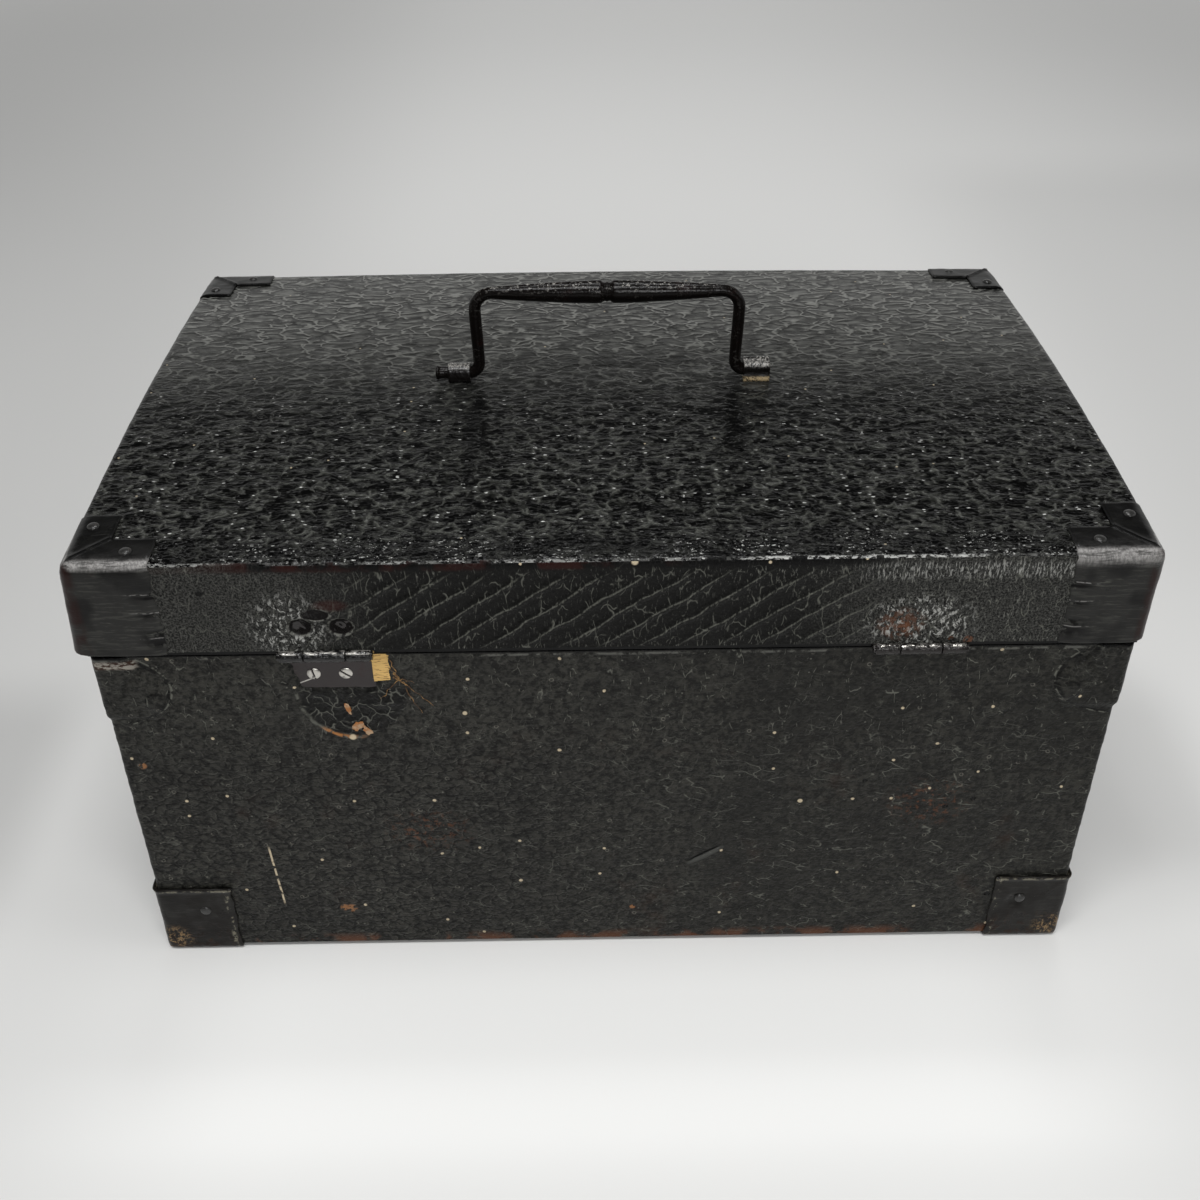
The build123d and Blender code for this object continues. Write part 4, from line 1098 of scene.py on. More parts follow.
def spring_steel(net, point):
    """Blued steel that has browned in patches."""
    rust = bloom(net, point, 4.0, 0.40, 0.15)
    paint = Paint(net, (0.2, 0.21, 0.24, 1.0))
    paint.coat(rust, (0.07, 0.045, 0.03, 1.0))
    height = 0.03 * net.noise(point, 0.8)
    return {
        "colour": paint.colour,
        "roughness": 0.28 + 0.3 * rust,
        "height": height,
        "metallic": 0.95 - 0.6 * rust,
    }


def board_wood(net, point):
    """Pine with its grain along the board, and black at the outside edges, partly lacquer that ran in and partly
    painted shade of the joint between lid and body.
    """
    c = palette()
    x, y, z = net.parts(point)
    away_x, away_y = abs(x), abs(y)
    end = net.math("GREATER_THAN", away_x, 185.1) * net.math("LESS_THAN", away_y, 117.75)
    turned = net.point(x + end * (y - x), y + end * (x - y), z)
    long_point = net.stretch(net.stray(turned, 60.0, 4.0), (0.05, 1.0, 1.0))
    ring = net.math("FRACT", net.noise(long_point, 26.0) * 9.0)
    late = net.ramp(ring, 0.45, 0.95)
    fibre = net.streaks(turned, (0.05, 1.0, 1.0), 0.8, 3.0, 0.7)
    age = bloom(net, point, 50.0, 0.45, 0.25)
    paint = Paint(net, c["wood"])
    paint.coat(0.6 * late + 0.25 * fibre, c["grain"])
    paint.coat(0.25 + 0.35 * age, (0.1, 0.055, 0.028, 1.0))
    # Black at the boards' outside edges: partly lacquer run in, partly painted shade in the gap between lid and body
    outer = net.most(away_x - 191.5, away_y - 124.0)
    run = net.ramp(outer + 1.2 * net.noise(point, 4.0, 3.0), 0.4, 1.6)
    paint.coat(run, c["lacquer"])
    height = 0.10 * fibre + 0.06 * late
    return {"colour": paint.colour, "roughness": 0.62 + 0.2 * fibre, "height": height}


def torn_wood(net, point):
    """Bare golden wood with fibres across it, where the covering has come away."""
    c = palette()
    fibre = net.streaks(point, (0.16, 1.0, 1.0), 0.7, 3.0, 0.7)
    dark = net.ramp(fibre, 0.52, 0.66)
    paint = Paint(net, (0.66, 0.43, 0.15, 1.0))
    paint.coat(0.85 * dark, c["rust"])
    return {"colour": paint.colour, "roughness": 0.6 + 0.2 * fibre, "height": 0.25 * fibre}


def torn_fibre(net, point):
    """Thin fibres of the covering's cloth, brown with dirt."""
    tone = net.noise(point, 2.5, 3.0, 0.6)
    paint = Paint(net, (0.07, 0.035, 0.014, 1.0))
    paint.coat(net.ramp(tone, 0.4, 0.62), (0.3, 0.17, 0.06, 1.0))
    return {"colour": paint.colour, "roughness": 0.6 + 0.2 * tone, "height": 0.15 * tone}


def lining_paper(net, point):
    """Paper with stains, brown spots and a soft waviness."""
    c = palette()
    fibre = net.noise(point, 0.7, 3.0, 0.7)
    stain = bloom(net, point, 42.0, 0.45, 0.2)
    fox = flecks(net, net.flat(point), 11.0, 0.12, 0.10)
    paint = Paint(net, c["paper"])
    paint.coat(0.45 * stain, (0.25, 0.18, 0.105, 1.0))
    paint.coat(0.5 * fox, (0.2, 0.11, 0.05, 1.0))
    paint.coat(0.12 * fibre, (0.15, 0.12, 0.08, 1.0))
    height = 0.05 * fibre + 0.12 * net.noise(point, 12.0, 3.0) + 0.5 * net.noise(point, 55.0)
    return {"colour": paint.colour, "roughness": 0.78 + 0.15 * fibre, "height": height}


def glue_flake(net, point):
    """Crumbs of orange brown glue, paler on their edges."""
    c = palette()
    grain = net.noise(point, 1.1, 3.0, 0.7)
    pale = net.patches(point, 3.0, 0.45, 0.65)
    paint = Paint(net, c["orange"])
    paint.coat(0.6 * pale, c["cream"])
    paint.coat(0.5 * grain, c["rust"])
    return {"colour": paint.colour, "roughness": 0.55 + 0.2 * grain, "height": 0.3 * grain}


def floor_paint(net, point):
    """Pale paper with painted light and shade: brightest in front and in a stripe behind the case, with painted
    shadows to its sides, and far off it fades into the background.
    """
    c = palette()
    x, y = net.parts(point)[:2]
    speck = net.noise(point, 4.0)
    away = abs(x)
    front = net.fall(y, -160.0, -95.0)
    nearest = net.fall(y, -262.0, -190.0)
    stripe = net.fall(abs(x - 90.0), 60.0, 900.0)
    behind = net.ramp(y, 100.0, 1350.0)
    # Painted light and shade: brighter pools in front and in a stripe behind the case, painted shadows to the left,
    # to the right and beside the case, and darker towards the front corners and far in front
    bright = net.most(front, stripe * behind)
    left = net.ramp(-x, 120.0, 420.0) * (1.0 - front) * (1.0 - 0.5 * net.ramp(y, 700.0, 1400.0))
    right = net.ramp(x, 250.0, 450.0) * net.band(y, 100.0, 900.0, 90.0)
    side = net.ramp(away, 130.0, 285.0)
    beside = net.band(y, -105.0, 50.0, 35.0) * net.band(abs(x + 25.0), 260.0, 330.0, 22.0)
    level = 0.74 + 0.26 * bright - 0.15 * left - 0.09 * right - 0.12 * beside
    level = level - 0.32 * front * side - 0.23 * nearest * (1.0 - side)
    paint = Paint(net, grey(0.0))
    paint.coat(level, c["floor"])
    camera_ray = net.out(net.node("ShaderNodeLightPath", {}), "Is Camera Ray")
    far_out = net.ramp(net.math("SQRT", x * x + y * y), 1100.0, 4000.0)
    fade = net.tint(far_out * camera_ray, grey(0.0), (0.5, 0.5, 0.49, 1.0))
    return {"colour": paint.colour, "roughness": 0.55 + 0.1 * speck, "height": 0.02 * speck, "emission": fade}


# Each finish: the function that makes its surface, and the strength of its gloss
FINISHES = {
    "top_lacquer": (top_lacquer, 0.11),
    "lid_side_lacquer": (lid_side_lacquer, 0.11),
    "body_lacquer": (body_lacquer, 0.13),
    "cap_iron": (cap_iron, 0.15),
    "forged_iron": (forged_iron, 0.14),
    "staple_iron": (staple_iron, 0.4),
    "hinge_iron": (hinge_iron, 0.5),
    "screw_steel": (screw_steel, 0.5),
    "nail_iron": (nail_iron, 0.5),
    "lock_iron": (lock_iron, 0.5),
    "spring_steel": (spring_steel, 0.5),
    "board_wood": (board_wood, 0.3),
    "torn_wood": (torn_wood, 0.3),
    "torn_fibre": (torn_fibre, 0.3),
    "lining_paper": (lining_paper, 0.2),
    "glue_flake": (glue_flake, 0.3),
    "floor_paint": (floor_paint, 0.25),
}

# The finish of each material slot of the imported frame
SLOT_FINISHES = {
    "board_wood": "board_wood",
    "black_covering": "body_lacquer",
    "cap_metal": "cap_iron",
    "nail_metal": "nail_iron",
    "hinge_metal": "hinge_iron",
    "screw_metal": "screw_steel",
    "handle_metal": "forged_iron",
    "lock_metal": "lock_iron",
    "spring_metal": "spring_steel",
    "lining_paper": "lining_paper",
}


# Forms shared by the lid's covering and caps
def lid_crown(net, x, y, z):
    """How far the crown and the bow lift a point, growing from the lid's low edge to its top."""
    sizes = bpy.context.scene.case_sizes
    across = y / LID_Y
    along = x / LID_X
    rise = sizes.crown / MM * net.most(1.0 - across * across, 0.0)
    bow = sizes.bow / MM * net.most(1.0 - along * along, 0.0) * net.ramp(y, -60.0, LID_Y)
    return (rise + bow) * net.most((z - LID_LOW) / (LID_HIGH - LID_LOW), 0.0)


def crown_stage(net, place, normal):
    """Lifts a piece of the lid by its crown."""
    x, y, z = net.parts(place)
    return net.point(0.0, 0.0, lid_crown(net, x, y, z))


# Operators
class MESSENGER_OT_stage(bpy.types.Operator):
    """Adds the pale floor, the soft lamps, the background and the camera"""

    bl_idname = "messenger.stage"
    bl_label = "Stage and camera"
    bl_options = {"REGISTER", "UNDO"}

    def execute(self, context):
        settle()
        bpy.ops.mesh.primitive_circle_add(vertices=96, radius=6.0, fill_type="NGON", location=(0, 0, 0))
        floor = bpy.context.object
        floor.name = "studio_floor"
        floor.data.materials.append(finish("floor_paint"))
        self.lamp("front_lamp", (-0.1, -0.62, 1.75), (0, -0.1, 0.0), (0.9, 0.22), 15.5)
        self.lamp("low_front_lamp", (0.2, -1.5, 0.85), (0, -0.15, 0.0), (0.45, 0.3), 7.0)
        self.lamp("overhead_lamp", (0.05, 0.5, 1.9), (0, 0, 0.1), (0.7, 0.3), 8.5)
        self.lamp("left_lamp", (-1.5, -0.4, 1.0), (0, 0, 0.1), (0.6, 0.9), 2.0)
        self.lamp("right_lamp", (1.5, -0.4, 1.0), (0, 0, 0.1), (0.6, 0.9), 2.5)
        self.background()
        self.camera()
        return {"FINISHED"}

    def lamp(self, name, place, target, size, power):
        """A rectangular area lamp that looks from its place at a target, in metres and watts."""
        direction = Vector(target) - Vector(place)
        turn = direction.to_track_quat("-Z", "Y").to_euler()
        bpy.ops.object.light_add(type="AREA", location=place, rotation=turn)
        lamp = bpy.context.object
        lamp.name = name
        lamp.data.shape = "RECTANGLE"
        lamp.data.size, lamp.data.size_y = size
        lamp.data.energy = power

    def background(self):
        """A pale background, dark overhead and behind the camera in reflections, and a plain level of light."""
        world = bpy.data.worlds.new("studio_air")
        bpy.context.scene.world = world
        world.use_nodes = True
        world.node_tree.nodes.clear()
        net = Net(world.node_tree)
        direction = net.out(net.node("ShaderNodeTexCoord", {}), "Generated")
        y, z = net.parts(direction)[1:]
        path = net.node("ShaderNodeLightPath", {})
        camera_ray = net.out(path, "Is Camera Ray")
        room = net.fall(y, -0.35, 0.35) * (1.0 - camera_ray)
        dark = net.most(net.ramp(z, 0.33, 0.5), room)
        shown = net.tint(dark, (0.66, 0.66, 0.65, 1.0), grey(0.02))
        glossy_ray = net.out(path, "Is Glossy Ray")
        clear_ray = net.out(path, "Is Transmission Ray")
        seen = net.most(camera_ray, net.most(glossy_ray, clear_ray))
        tone = net.tint(seen, grey(0.26), shown)
        light = net.node("ShaderNodeBackground", {"Color": tone, "Strength": 1.0})
        net.node("ShaderNodeOutputWorld", {"Surface": net.out(light)})

    def camera(self):
        """The photograph's viewing place: above and in front of the hinge side."""
        data = bpy.data.cameras.new("photo_camera")
        data.lens = 41.79
        data.sensor_width = 36.0
        data.clip_start = 0.01
        camera = bpy.data.objects.new("photo_camera", data)
        bpy.context.scene.collection.objects.link(camera)
        turn = Matrix.Rotation(math.radians(-0.77), 3, "Z")
        pitch = math.radians(35.56)
        roll = math.radians(-0.31)
        right, up, ahead = turn @ Vector((1, 0, 0)), Vector((0, 0, 1)), turn @ Vector((0, 1, 0))
        look = math.cos(pitch) * ahead - math.sin(pitch) * up
        head = math.sin(pitch) * ahead + math.cos(pitch) * up
        side = math.cos(roll) * right + math.sin(roll) * head
        crest = -math.sin(roll) * right + math.cos(roll) * head
        pose = Matrix((side, crest, -look)).transposed().to_4x4()
        camera.matrix_world = Matrix.Translation((-0.011, -0.546, 0.485)) @ pose
        bpy.context.scene.camera = camera
        bpy.context.scene.view_settings.view_transform = "Standard"


def fold_inside(piece, corner, edge_z, depth):
    """Folds the covering's open edge in by its thickness, carries it along the inside and closes it."""
    skin = bpy.context.scene.case_sizes.skin
    take(piece, "edges", lambda e: e.is_boundary)
    extrude((0, 0, 0))
    inner = (1 - skin / (corner[0] * MM), 1 - skin / (corner[1] * MM), 1)
    bpy.ops.transform.resize(value=inner, center_override=(0, 0, edge_z * MM))
    extrude((0, 0, depth))
    bpy.ops.mesh.edge_face_add()


def lid_relief(net, place, normal):
    """Swells and folds on the lid's top, and the lumps and hollows over the hinges on its side."""
    x, y, z = net.parts(place)
    outside = net.ramp(net.most(abs(x) - 198.2, z - 205.0), -0.1, 0.1)
    outside = net.most(outside, net.ramp(abs(y), 130.6, 130.9))
    top = net.ramp(net.parts(normal)[2], 0.45, 0.9)
    near = net.fall(y, -110.0, 60.0)
    stretched = net.stretch(place, (0.45, 1.0, 1.0))
    swell = net.sway(stretched, 8.0)
    crease = net.folds(stretched, 7.5, 3.0, 0.25)
    high_part = top * ((0.30 + 0.35 * near) * swell + (0.04 + 0.22 * near) * crease - 0.1)
    hinge_side = net.math("LESS_THAN", y, 0.0)
    side = 0.55 * net.sway(place, 22.0) + 0.3 * net.sway(place, 5.0)
    blob = discs(net, x, z, 0.3, ((-115.0, 178.0), (17.0, 13.5)), ((115.0, 176.0), (21.0, 12.5)))
    crumple = blob * (1.5 * net.noise(place, 3.6, 3.0, 0.6) - 0.45)
    dent = discs(net, x, z, 0.25, ((-116.5, 177.5), (4.6, 3.9)), ((-101.5, 177.5), (4.8, 3.9)))
    screw = discs(net, x, z, 0.3, ((107.4, 175.2), (3.6, 3.4)), ((122.7, 172.7), (3.6, 3.4)))
    local = crumple - 1.5 * dent + 0.7 * screw + 0.5 * slants(net, x, z)[0]
    low_part = (1.0 - top) * (side + hinge_side * local)
    return net.scale(normal, (high_part + low_part) * outside)


def left_flare(net, place, normal):
    """The lid's left side has sprung outwards at its low edge."""
    x, _, z = net.parts(place)
    low = net.most(1.0 - (z - LID_LOW) / 41.0, 0.0)
    return net.point(-2.6 * low * net.ramp(-x, 184.0, 198.0), 0.0, 0.0)


class MESSENGER_OT_lid_covering(bpy.types.Operator):
    """Models the lacquered covering of the lid, with its crown, folds and the marks round the hinges"""

    bl_idname = "messenger.lid_covering"
    bl_label = "Lid covering"
    bl_options = {"REGISTER", "UNDO"}

    def execute(self, context):
        sizes = context.scene.case_sizes
        low, high = (-LID_X, -LID_Y, LID_LOW + 1.6), (LID_X, LID_Y, LID_HIGH)
        piece = add_box("lid_covering_sheet", low, high)
        with editing(piece):
            take(piece, "faces", lambda f: f.normal.z < -0.5)
            bpy.ops.mesh.delete(type="FACE")
            take(piece, "edges", lambda e: runs_along(e, 2) or middle(e).z > high[2] - 0.1)
            bpy.ops.mesh.bevel(offset=sizes.edge_round, segments=3, affect="EDGES")
            for axis in range(3):
                divide(piece, axis, sizes.lid_step)
            fold_inside(piece, high, low[2], 37.0)
        shape(piece, crown_stage, lid_relief, left_flare)
        smooth(piece, 60)
        dress(piece, "lid", "black_covering", finish("lid_side_lacquer"), "lid_covering")
        piece.data.materials.append(finish("top_lacquer"))
        for face in piece.data.polygons:
            if face.normal.z > 0.6 and face.center.z > 205.0 * MM:
                face.material_index = 1
        return {"FINISHED"}


def body_relief(net, place, normal):
    """Gentle waves and cracks on the body, sunk to the wood where the covering is worn off."""
    x, y, z = net.parts(place)
    outside = net.most(abs(x) / BODY_X, abs(y) / BODY_Y)
    outside = net.ramp(outside, 0.9945, 0.9965) * net.ramp(z, 2.6, 5.0) * (1.0 - 0.8 * net.ramp(z, 161.5, 163.6))
    hinge_side = net.math("LESS_THAN", y, 0.0)
    wave = 0.7 * net.sway(place, 30.0) + 0.28 * net.sway(place, 6.0)
    crease = 0.16 * net.folds(place, 11.0, 4.0, 0.14)
    ragged = 1.6 * net.sway(place, 3.0, 3.0, 0.6)
    slant = -124.8 + 4.6 * (163.8 - z) / 17.0
    leaf = net.ramp(x - slant + 0.3 * ragged, -0.5, 0.5) * net.fall(x + ragged, -91.8, -90.8)
    leaf = leaf * net.ramp(z + 0.3 * ragged, 145.5, 146.5)
    patch = net.band(x + ragged, -92.0, -85.6, 0.6) * net.ramp(z + ragged, 149.2, 150.4)
    worn = net.most(leaf, patch) * hinge_side
    inside, rim = stain_place(net, x, z)
    dark_oval = net.disc(x, z, (-114.7, 139.6), (5.5, 2.8), 0.3)
    scar = hinge_side * (0.35 * rim - 0.5 * inside - 0.5 * dark_oval)
    lump = hinge_side * net.disc(x, z, (-86.0, 140.0), (6.0, 2.6), 0.5) * 0.8
    buckle = hinge_side * net.disc(x, z, (115.0, 152.0), (20.0, 9.0), 0.35) * 0.4
    total = (wave + crease + scar + lump + buckle) * (1.0 - worn) - 1.7 * worn
    return net.scale(normal, total * outside)


class MESSENGER_OT_body_covering(bpy.types.Operator):
    """Models the lacquered covering of the body, sunk where it is worn off round the left hinge"""

    bl_idname = "messenger.body_covering"
    bl_label = "Body covering"
    bl_options = {"REGISTER", "UNDO"}

    def execute(self, context):
        sizes = context.scene.case_sizes
        low, high = (-BODY_X, -BODY_Y, 2.4), (BODY_X, BODY_Y, 163.3)
        piece = add_box("body_covering_sheet", low, high)
        with editing(piece):
            take(piece, "edges", lambda e: runs_along(e, 2))
            bpy.ops.mesh.bevel(offset=sizes.edge_round, segments=3, affect="EDGES")
            take(piece, "faces", lambda f: abs(f.normal.z) > 0.5)
            bpy.ops.mesh.delete(type="ONLY_FACE")
            for axis in range(3):
                divide(piece, axis, sizes.body_step)
            take(piece, "edges", lambda e: e.is_boundary and middle(e).z < low[2] + 0.1)
            bpy.ops.mesh.edge_face_add()
            fold_inside(piece, high, high[2], low[2] - high[2] + 1.2)
        shape(piece, body_relief)
        smooth(piece, 60)
        dress(piece, "case_body", "black_covering", finish("body_lacquer"), "body_covering")
        return {"FINISHED"}


def corner_sheet(name, low, high, round_edges, step, keep, leaf=None):
    """Two sides of a corner, and a leaf if asked, as a folded sheet cut into a fine mesh."""
    piece = add_box(name, low, high)
    with editing(piece):
        take(piece, "faces", lambda f: not keep(f.normal))
        bpy.ops.mesh.delete(type="FACE")
        take(piece, "edges", lambda e: not e.is_boundary)
        bpy.ops.mesh.bevel(offset=round_edges, segments=4, affect="EDGES")
        for axis in range(3):
            divide(piece, axis, step)
        if leaf:
            take(piece, "faces", lambda f: leaf(middle(f)) and abs(f.normal.z) > 0.9)
            bpy.ops.mesh.delete(type="FACE")
    return piece


# The case's corners, as the signs that mirror a sheet from the left hinge corner to each of them
CORNERS = {"hinge_left": (1, 1), "hinge_right": (-1, 1), "lock_left": (1, -1), "lock_right": (-1, -1)}


def set_on_corners(base, kind, thickness, stages, body, slot, material):
    """Mirrors a sheet made at the left hinge corner to all four corners, then shapes and dresses each copy."""
    pieces = {}
    for corner, (side_x, side_y) in CORNERS.items():
        node = f"{corner}_{kind}"
        pieces[node] = copy_of(base, f"{node}_sheet", Matrix.Diagonal((side_x, side_y, 1, 1)))
    bpy.data.objects.remove(base)
    for node, piece in pieces.items():
        shape(piece, *stages)
        thicken(piece, thickness, 0.3 * MM)
        smooth(piece, 50)
        dress(piece, body, slot, material, node)


def thicken(piece, thickness, edge):
    """Gives a sheet its thickness inwards and eases its edges."""
    apply_modifier(piece, "SOLIDIFY", thickness=thickness, offset=-1.0, use_even_offset=True)
    apply_modifier(piece, "BEVEL", width=edge, segments=1, limit_method="ANGLE", angle_limit=math.radians(60))


def lid_cap_edges(net, place, normal):
    """Wavers the cap's free edges and rounds its low outer corner."""
    x, y, z = net.parts(place)
    side_x = net.math("SIGN", x)
    side_y = net.math("SIGN", y)
    wander = net.streaks(place, (0.2, 0.2, 1.0), 7.0) - 0.5
    free_x = net.fall(abs(x), LID_CAP_X, 173.0)
    free_y = net.fall(abs(y), LID_CAP_Y, 107.5)
    low_edge = net.fall(z, LID_LOW, 169.0)
    outer = net.ramp(abs(x) + abs(y), 322.0, 333.0)
    sag = low_edge * (0.5 * net.sway(place, 14.0) + 1.1 * outer)
    return net.point(3.4 * wander * free_x * side_x, 3.4 * wander * free_y * side_y, sag)


def lid_cap_dents(net, place, normal):
    """Presses shallow dents and the short horizontal folds at the inner edges."""
    x, y, z = net.parts(place)
    away_x = abs(x)
    away_y = abs(y)
    shallow = 0.8 * net.sway(place, 13.0) + 0.25 * net.sway(place, 4.0)
    side = net.fall(net.parts(normal)[2], 0.3, 0.7)
    level = z + 1.2 * net.sway(place, 8.0)
    fold = bands(net, level, (193.2, 194.6, 0.8), (183.6, 185.0, 0.8))
    fold = fold + net.band(level, 175.6, 176.8, 0.7) + 0.8 * net.band(level, 171.6, 172.6, 0.6)
    reach = net.fall(away_x, 169.5, 176.5)
    reach_y = net.fall(away_y, 104.0, 110.0)
    folds = fold * net.most(reach * net.ramp(away_y, 128.0, 131.0), 0.6 * reach_y)
    pressed = net.most(net.fall(away_x, LID_CAP_X, 171.0), net.fall(away_y, LID_CAP_Y, 105.0))
    mitre = net.band(away_x - away_y, 66.7, 68.3, 0.6) * (1.0 - side)
    return net.scale(normal, shallow + 0.7 * mitre - side * (0.8 * pressed + 1.3 * folds))


class MESSENGER_OT_lid_caps(bpy.types.Operator):
    """Models the dented iron caps on the lid's corners"""

    bl_idname = "messenger.lid_caps"
    bl_label = "Lid corner caps"
    bl_options = {"REGISTER", "UNDO"}

    def execute(self, context):
        sizes = context.scene.case_sizes
        low, high = (-200.0, -132.5, 166.2), (-LID_CAP_X, -LID_CAP_Y, 207.4)
        leaf = sizes.top_leaf / MM
        base = corner_sheet(
            "lid_cap_base", low, high, sizes.cap_round, sizes.cap_step,
            lambda n: n.x < -0.5 or n.y < -0.5 or n.z > 0.5,
            lambda p: p.x > low[0] + leaf and p.y > low[1] + leaf,
        )
        stages = (crown_stage, lid_cap_edges, lid_cap_dents, left_flare)
        set_on_corners(base, "lid_cap", CAP_IRON * MM, stages, "lid", "cap_metal", finish("cap_iron"))
        return {"FINISHED"}


def bottom_cap_edges(net, place, normal):
    """Wavers the cap's free edges."""
    x, y, z = net.parts(place)
    wander = net.streaks(place, (0.25, 0.25, 1.0), 6.0) - 0.5
    free_x = net.fall(abs(x), FOOT_CAP_X, 171.0) * net.ramp(z, 1.0, 3.0)
    free_y = net.fall(abs(y), FOOT_CAP_Y, 103.5) * net.ramp(z, 1.0, 3.0)
    upper = net.ramp(z, 33.0, 38.0) * (net.streaks(place, (1.0, 1.0, 0.2), 9.0) - 0.5)
    return net.point(
        3.0 * wander * free_x * net.math("SIGN", x), 3.0 * wander * free_y * net.math("SIGN", y), 1.6 * upper,
    )


def bottom_cap_dents(net, place, normal):
    """Shallow dents, a lip along the upper edge and the pit beside a nail."""
    x, y, z = net.parts(place)
    shallow = 0.9 * net.sway(place, 12.0) + 0.3 * net.sway(place, 4.0)
    pit = net.disc(x, z, (175.0, 23.0), (3.4, 3.2), 0.4) * net.math("LESS_THAN", y, 0.0)
    lip = net.ramp(z, 35.2, 37.6) * 0.7
    above = net.ramp(z, 0.6, 4.0)
    return net.scale(normal, above * (shallow + lip - 0.9 * pit))


class MESSENGER_OT_bottom_caps(bpy.types.Operator):
    """Models the iron caps that the case stands on"""

    bl_idname = "messenger.bottom_caps"
    bl_label = "Bottom corner caps"
    bl_options = {"REGISTER", "UNDO"}

    def execute(self, context):
        sizes = context.scene.case_sizes
        low, high = (-197.6, -130.1, 0.0), (-FOOT_CAP_X, -FOOT_CAP_Y, 38.0)
        base = corner_sheet(
            "bottom_cap_base", low, high, 2.6 * MM, sizes.cap_step,
            lambda n: n.x < -0.5 or n.y < -0.5 or n.z < -0.5,
        )
        stages = (bottom_cap_edges, bottom_cap_dents)
        set_on_corners(base, "bottom_cap", CAP_IRON * MM, stages, "case_body", "cap_metal", finish("cap_iron"))
        return {"FINISHED"}


def patch_round(net, z):
    """How far a patch's free edges draw in towards the case's corner at each height."""
    return 0.5 * net.ramp(z, 145.0, 164.0) + 0.22 * net.fall(z, 132.0, 142.0)


def patch_edges(net, place, normal):
    """Wavers a patch's free edges and rounds them towards the corner."""
    x, y, z = net.parts(place)
    wander = net.streaks(place, (0.25, 0.25, 1.0), 8.0) - 0.5
    away_x = abs(x)
    away_y = abs(y)
    free_x = net.fall(away_x, PATCH_X, 177.0)
    free_y = net.fall(away_y, PATCH_Y, 109.0)
    rounded = patch_round(net, z)
    pull_x = rounded * net.most(195.0 - away_x, 0.0)
    pull_y = rounded * net.most(127.5 - away_y, 0.0)
    lower = net.fall(z, PATCH_LOW, 138.0)
    ripple = net.streaks(place, (1.0, 1.0, 0.2), 8.0) - 0.5
    move_x = (3.0 * wander * free_x + pull_x) * net.math("SIGN", x)
    move_y = (3.0 * wander * free_y + pull_y) * net.math("SIGN", y)
    return net.point(move_x, move_y, 3.4 * lower * ripple)


def patch_dents(net, place, normal):
    """The bumps over the nails, a crease, and free edges pressed down to the body."""
    x, y, z = net.parts(place)
    away_x = abs(x)
    away_y = abs(y)
    bump = net.disc(away_x, z, (176.0, 142.0), (4.3, 4.3), 0.35) * net.ramp(away_y, 128.0, 129.5)
    bump = bump + net.disc(away_y, z, (108.5, 142.0), (4.3, 4.3), 0.35) * net.ramp(away_x, 195.5, 197.0)
    slope = (away_x - PATCH_X) * 0.75 + (z - PATCH_LOW) * 0.66
    crease = net.band(slope, 24.0, 25.2, 0.9) * net.ramp(away_y, 128.0, 129.5)
    wave = 0.8 * net.sway(place, 12.0, 3.0)
    rounded = patch_round(net, z)
    edge_x = PATCH_X + 25.0 * rounded
    edge_y = PATCH_Y + 25.0 * rounded
    sunk = net.most(net.fall(away_x - edge_x, 0.0, 4.0), net.fall(away_y - edge_y, 0.0, 4.0))
    sunk = net.most(sunk, net.fall(z, PATCH_LOW, 135.0))
    return net.scale(normal, wave + 0.9 * bump - 0.9 * crease - 1.25 * sunk)


class MESSENGER_OT_top_patches(bpy.types.Operator):
    """Models the lacquered corner patches under the body's rim"""

    bl_idname = "messenger.top_patches"
    bl_label = "Body corner patches"
    bl_options = {"REGISTER", "UNDO"}

    def execute(self, context):
        sizes = context.scene.case_sizes
        low, high = (-197.6, -130.1, PATCH_LOW), (-PATCH_X, -PATCH_Y, 163.8)
        base = corner_sheet(
            "top_patch_base", low, high, 2.6 * MM, sizes.cap_step, lambda n: n.x < -0.5 or n.y < -0.5,
        )
        stages = (patch_edges, patch_dents)
        material = finish("body_lacquer")
        set_on_corners(base, "top_patch", PATCH_SHEET * MM, stages, "case_body", "black_covering", material)
        return {"FINISHED"}


def add_dome(name, radius, height):
    """A nail head: a low dome raised ring by ring."""
    piece = add_ring(name, (0, 0, 0), radius, (0, 0, 0), 20)
    with editing(piece, "EDGE"):
        bpy.ops.mesh.select_all(action="SELECT")
        last = radius
        for share, rise in ((1.0, 0.30), (0.93, 0.25), (0.74, 0.24), (0.42, 0.15), (0.12, 0.06)):
            extrude((0, 0, rise * height))
            bpy.ops.transform.resize(value=(share * radius / last,) * 2 + (1,), center_override=(0, 0, 0))
            last = share * radius
        bpy.ops.mesh.edge_face_add()
    return piece


def stand_on(normal, place):
    """A matrix that puts a form made upright at the origin onto a face, with its axis outwards."""
    turn = Vector(normal).to_track_quat("Z", "X").to_matrix().to_4x4()
    return Matrix.Translation([p * MM for p in place]) @ turn


def nail_marks(net, place, normal):
    """Faint hammer marks."""
    return net.scale(normal, 0.35 * net.sway(place, 1.8))


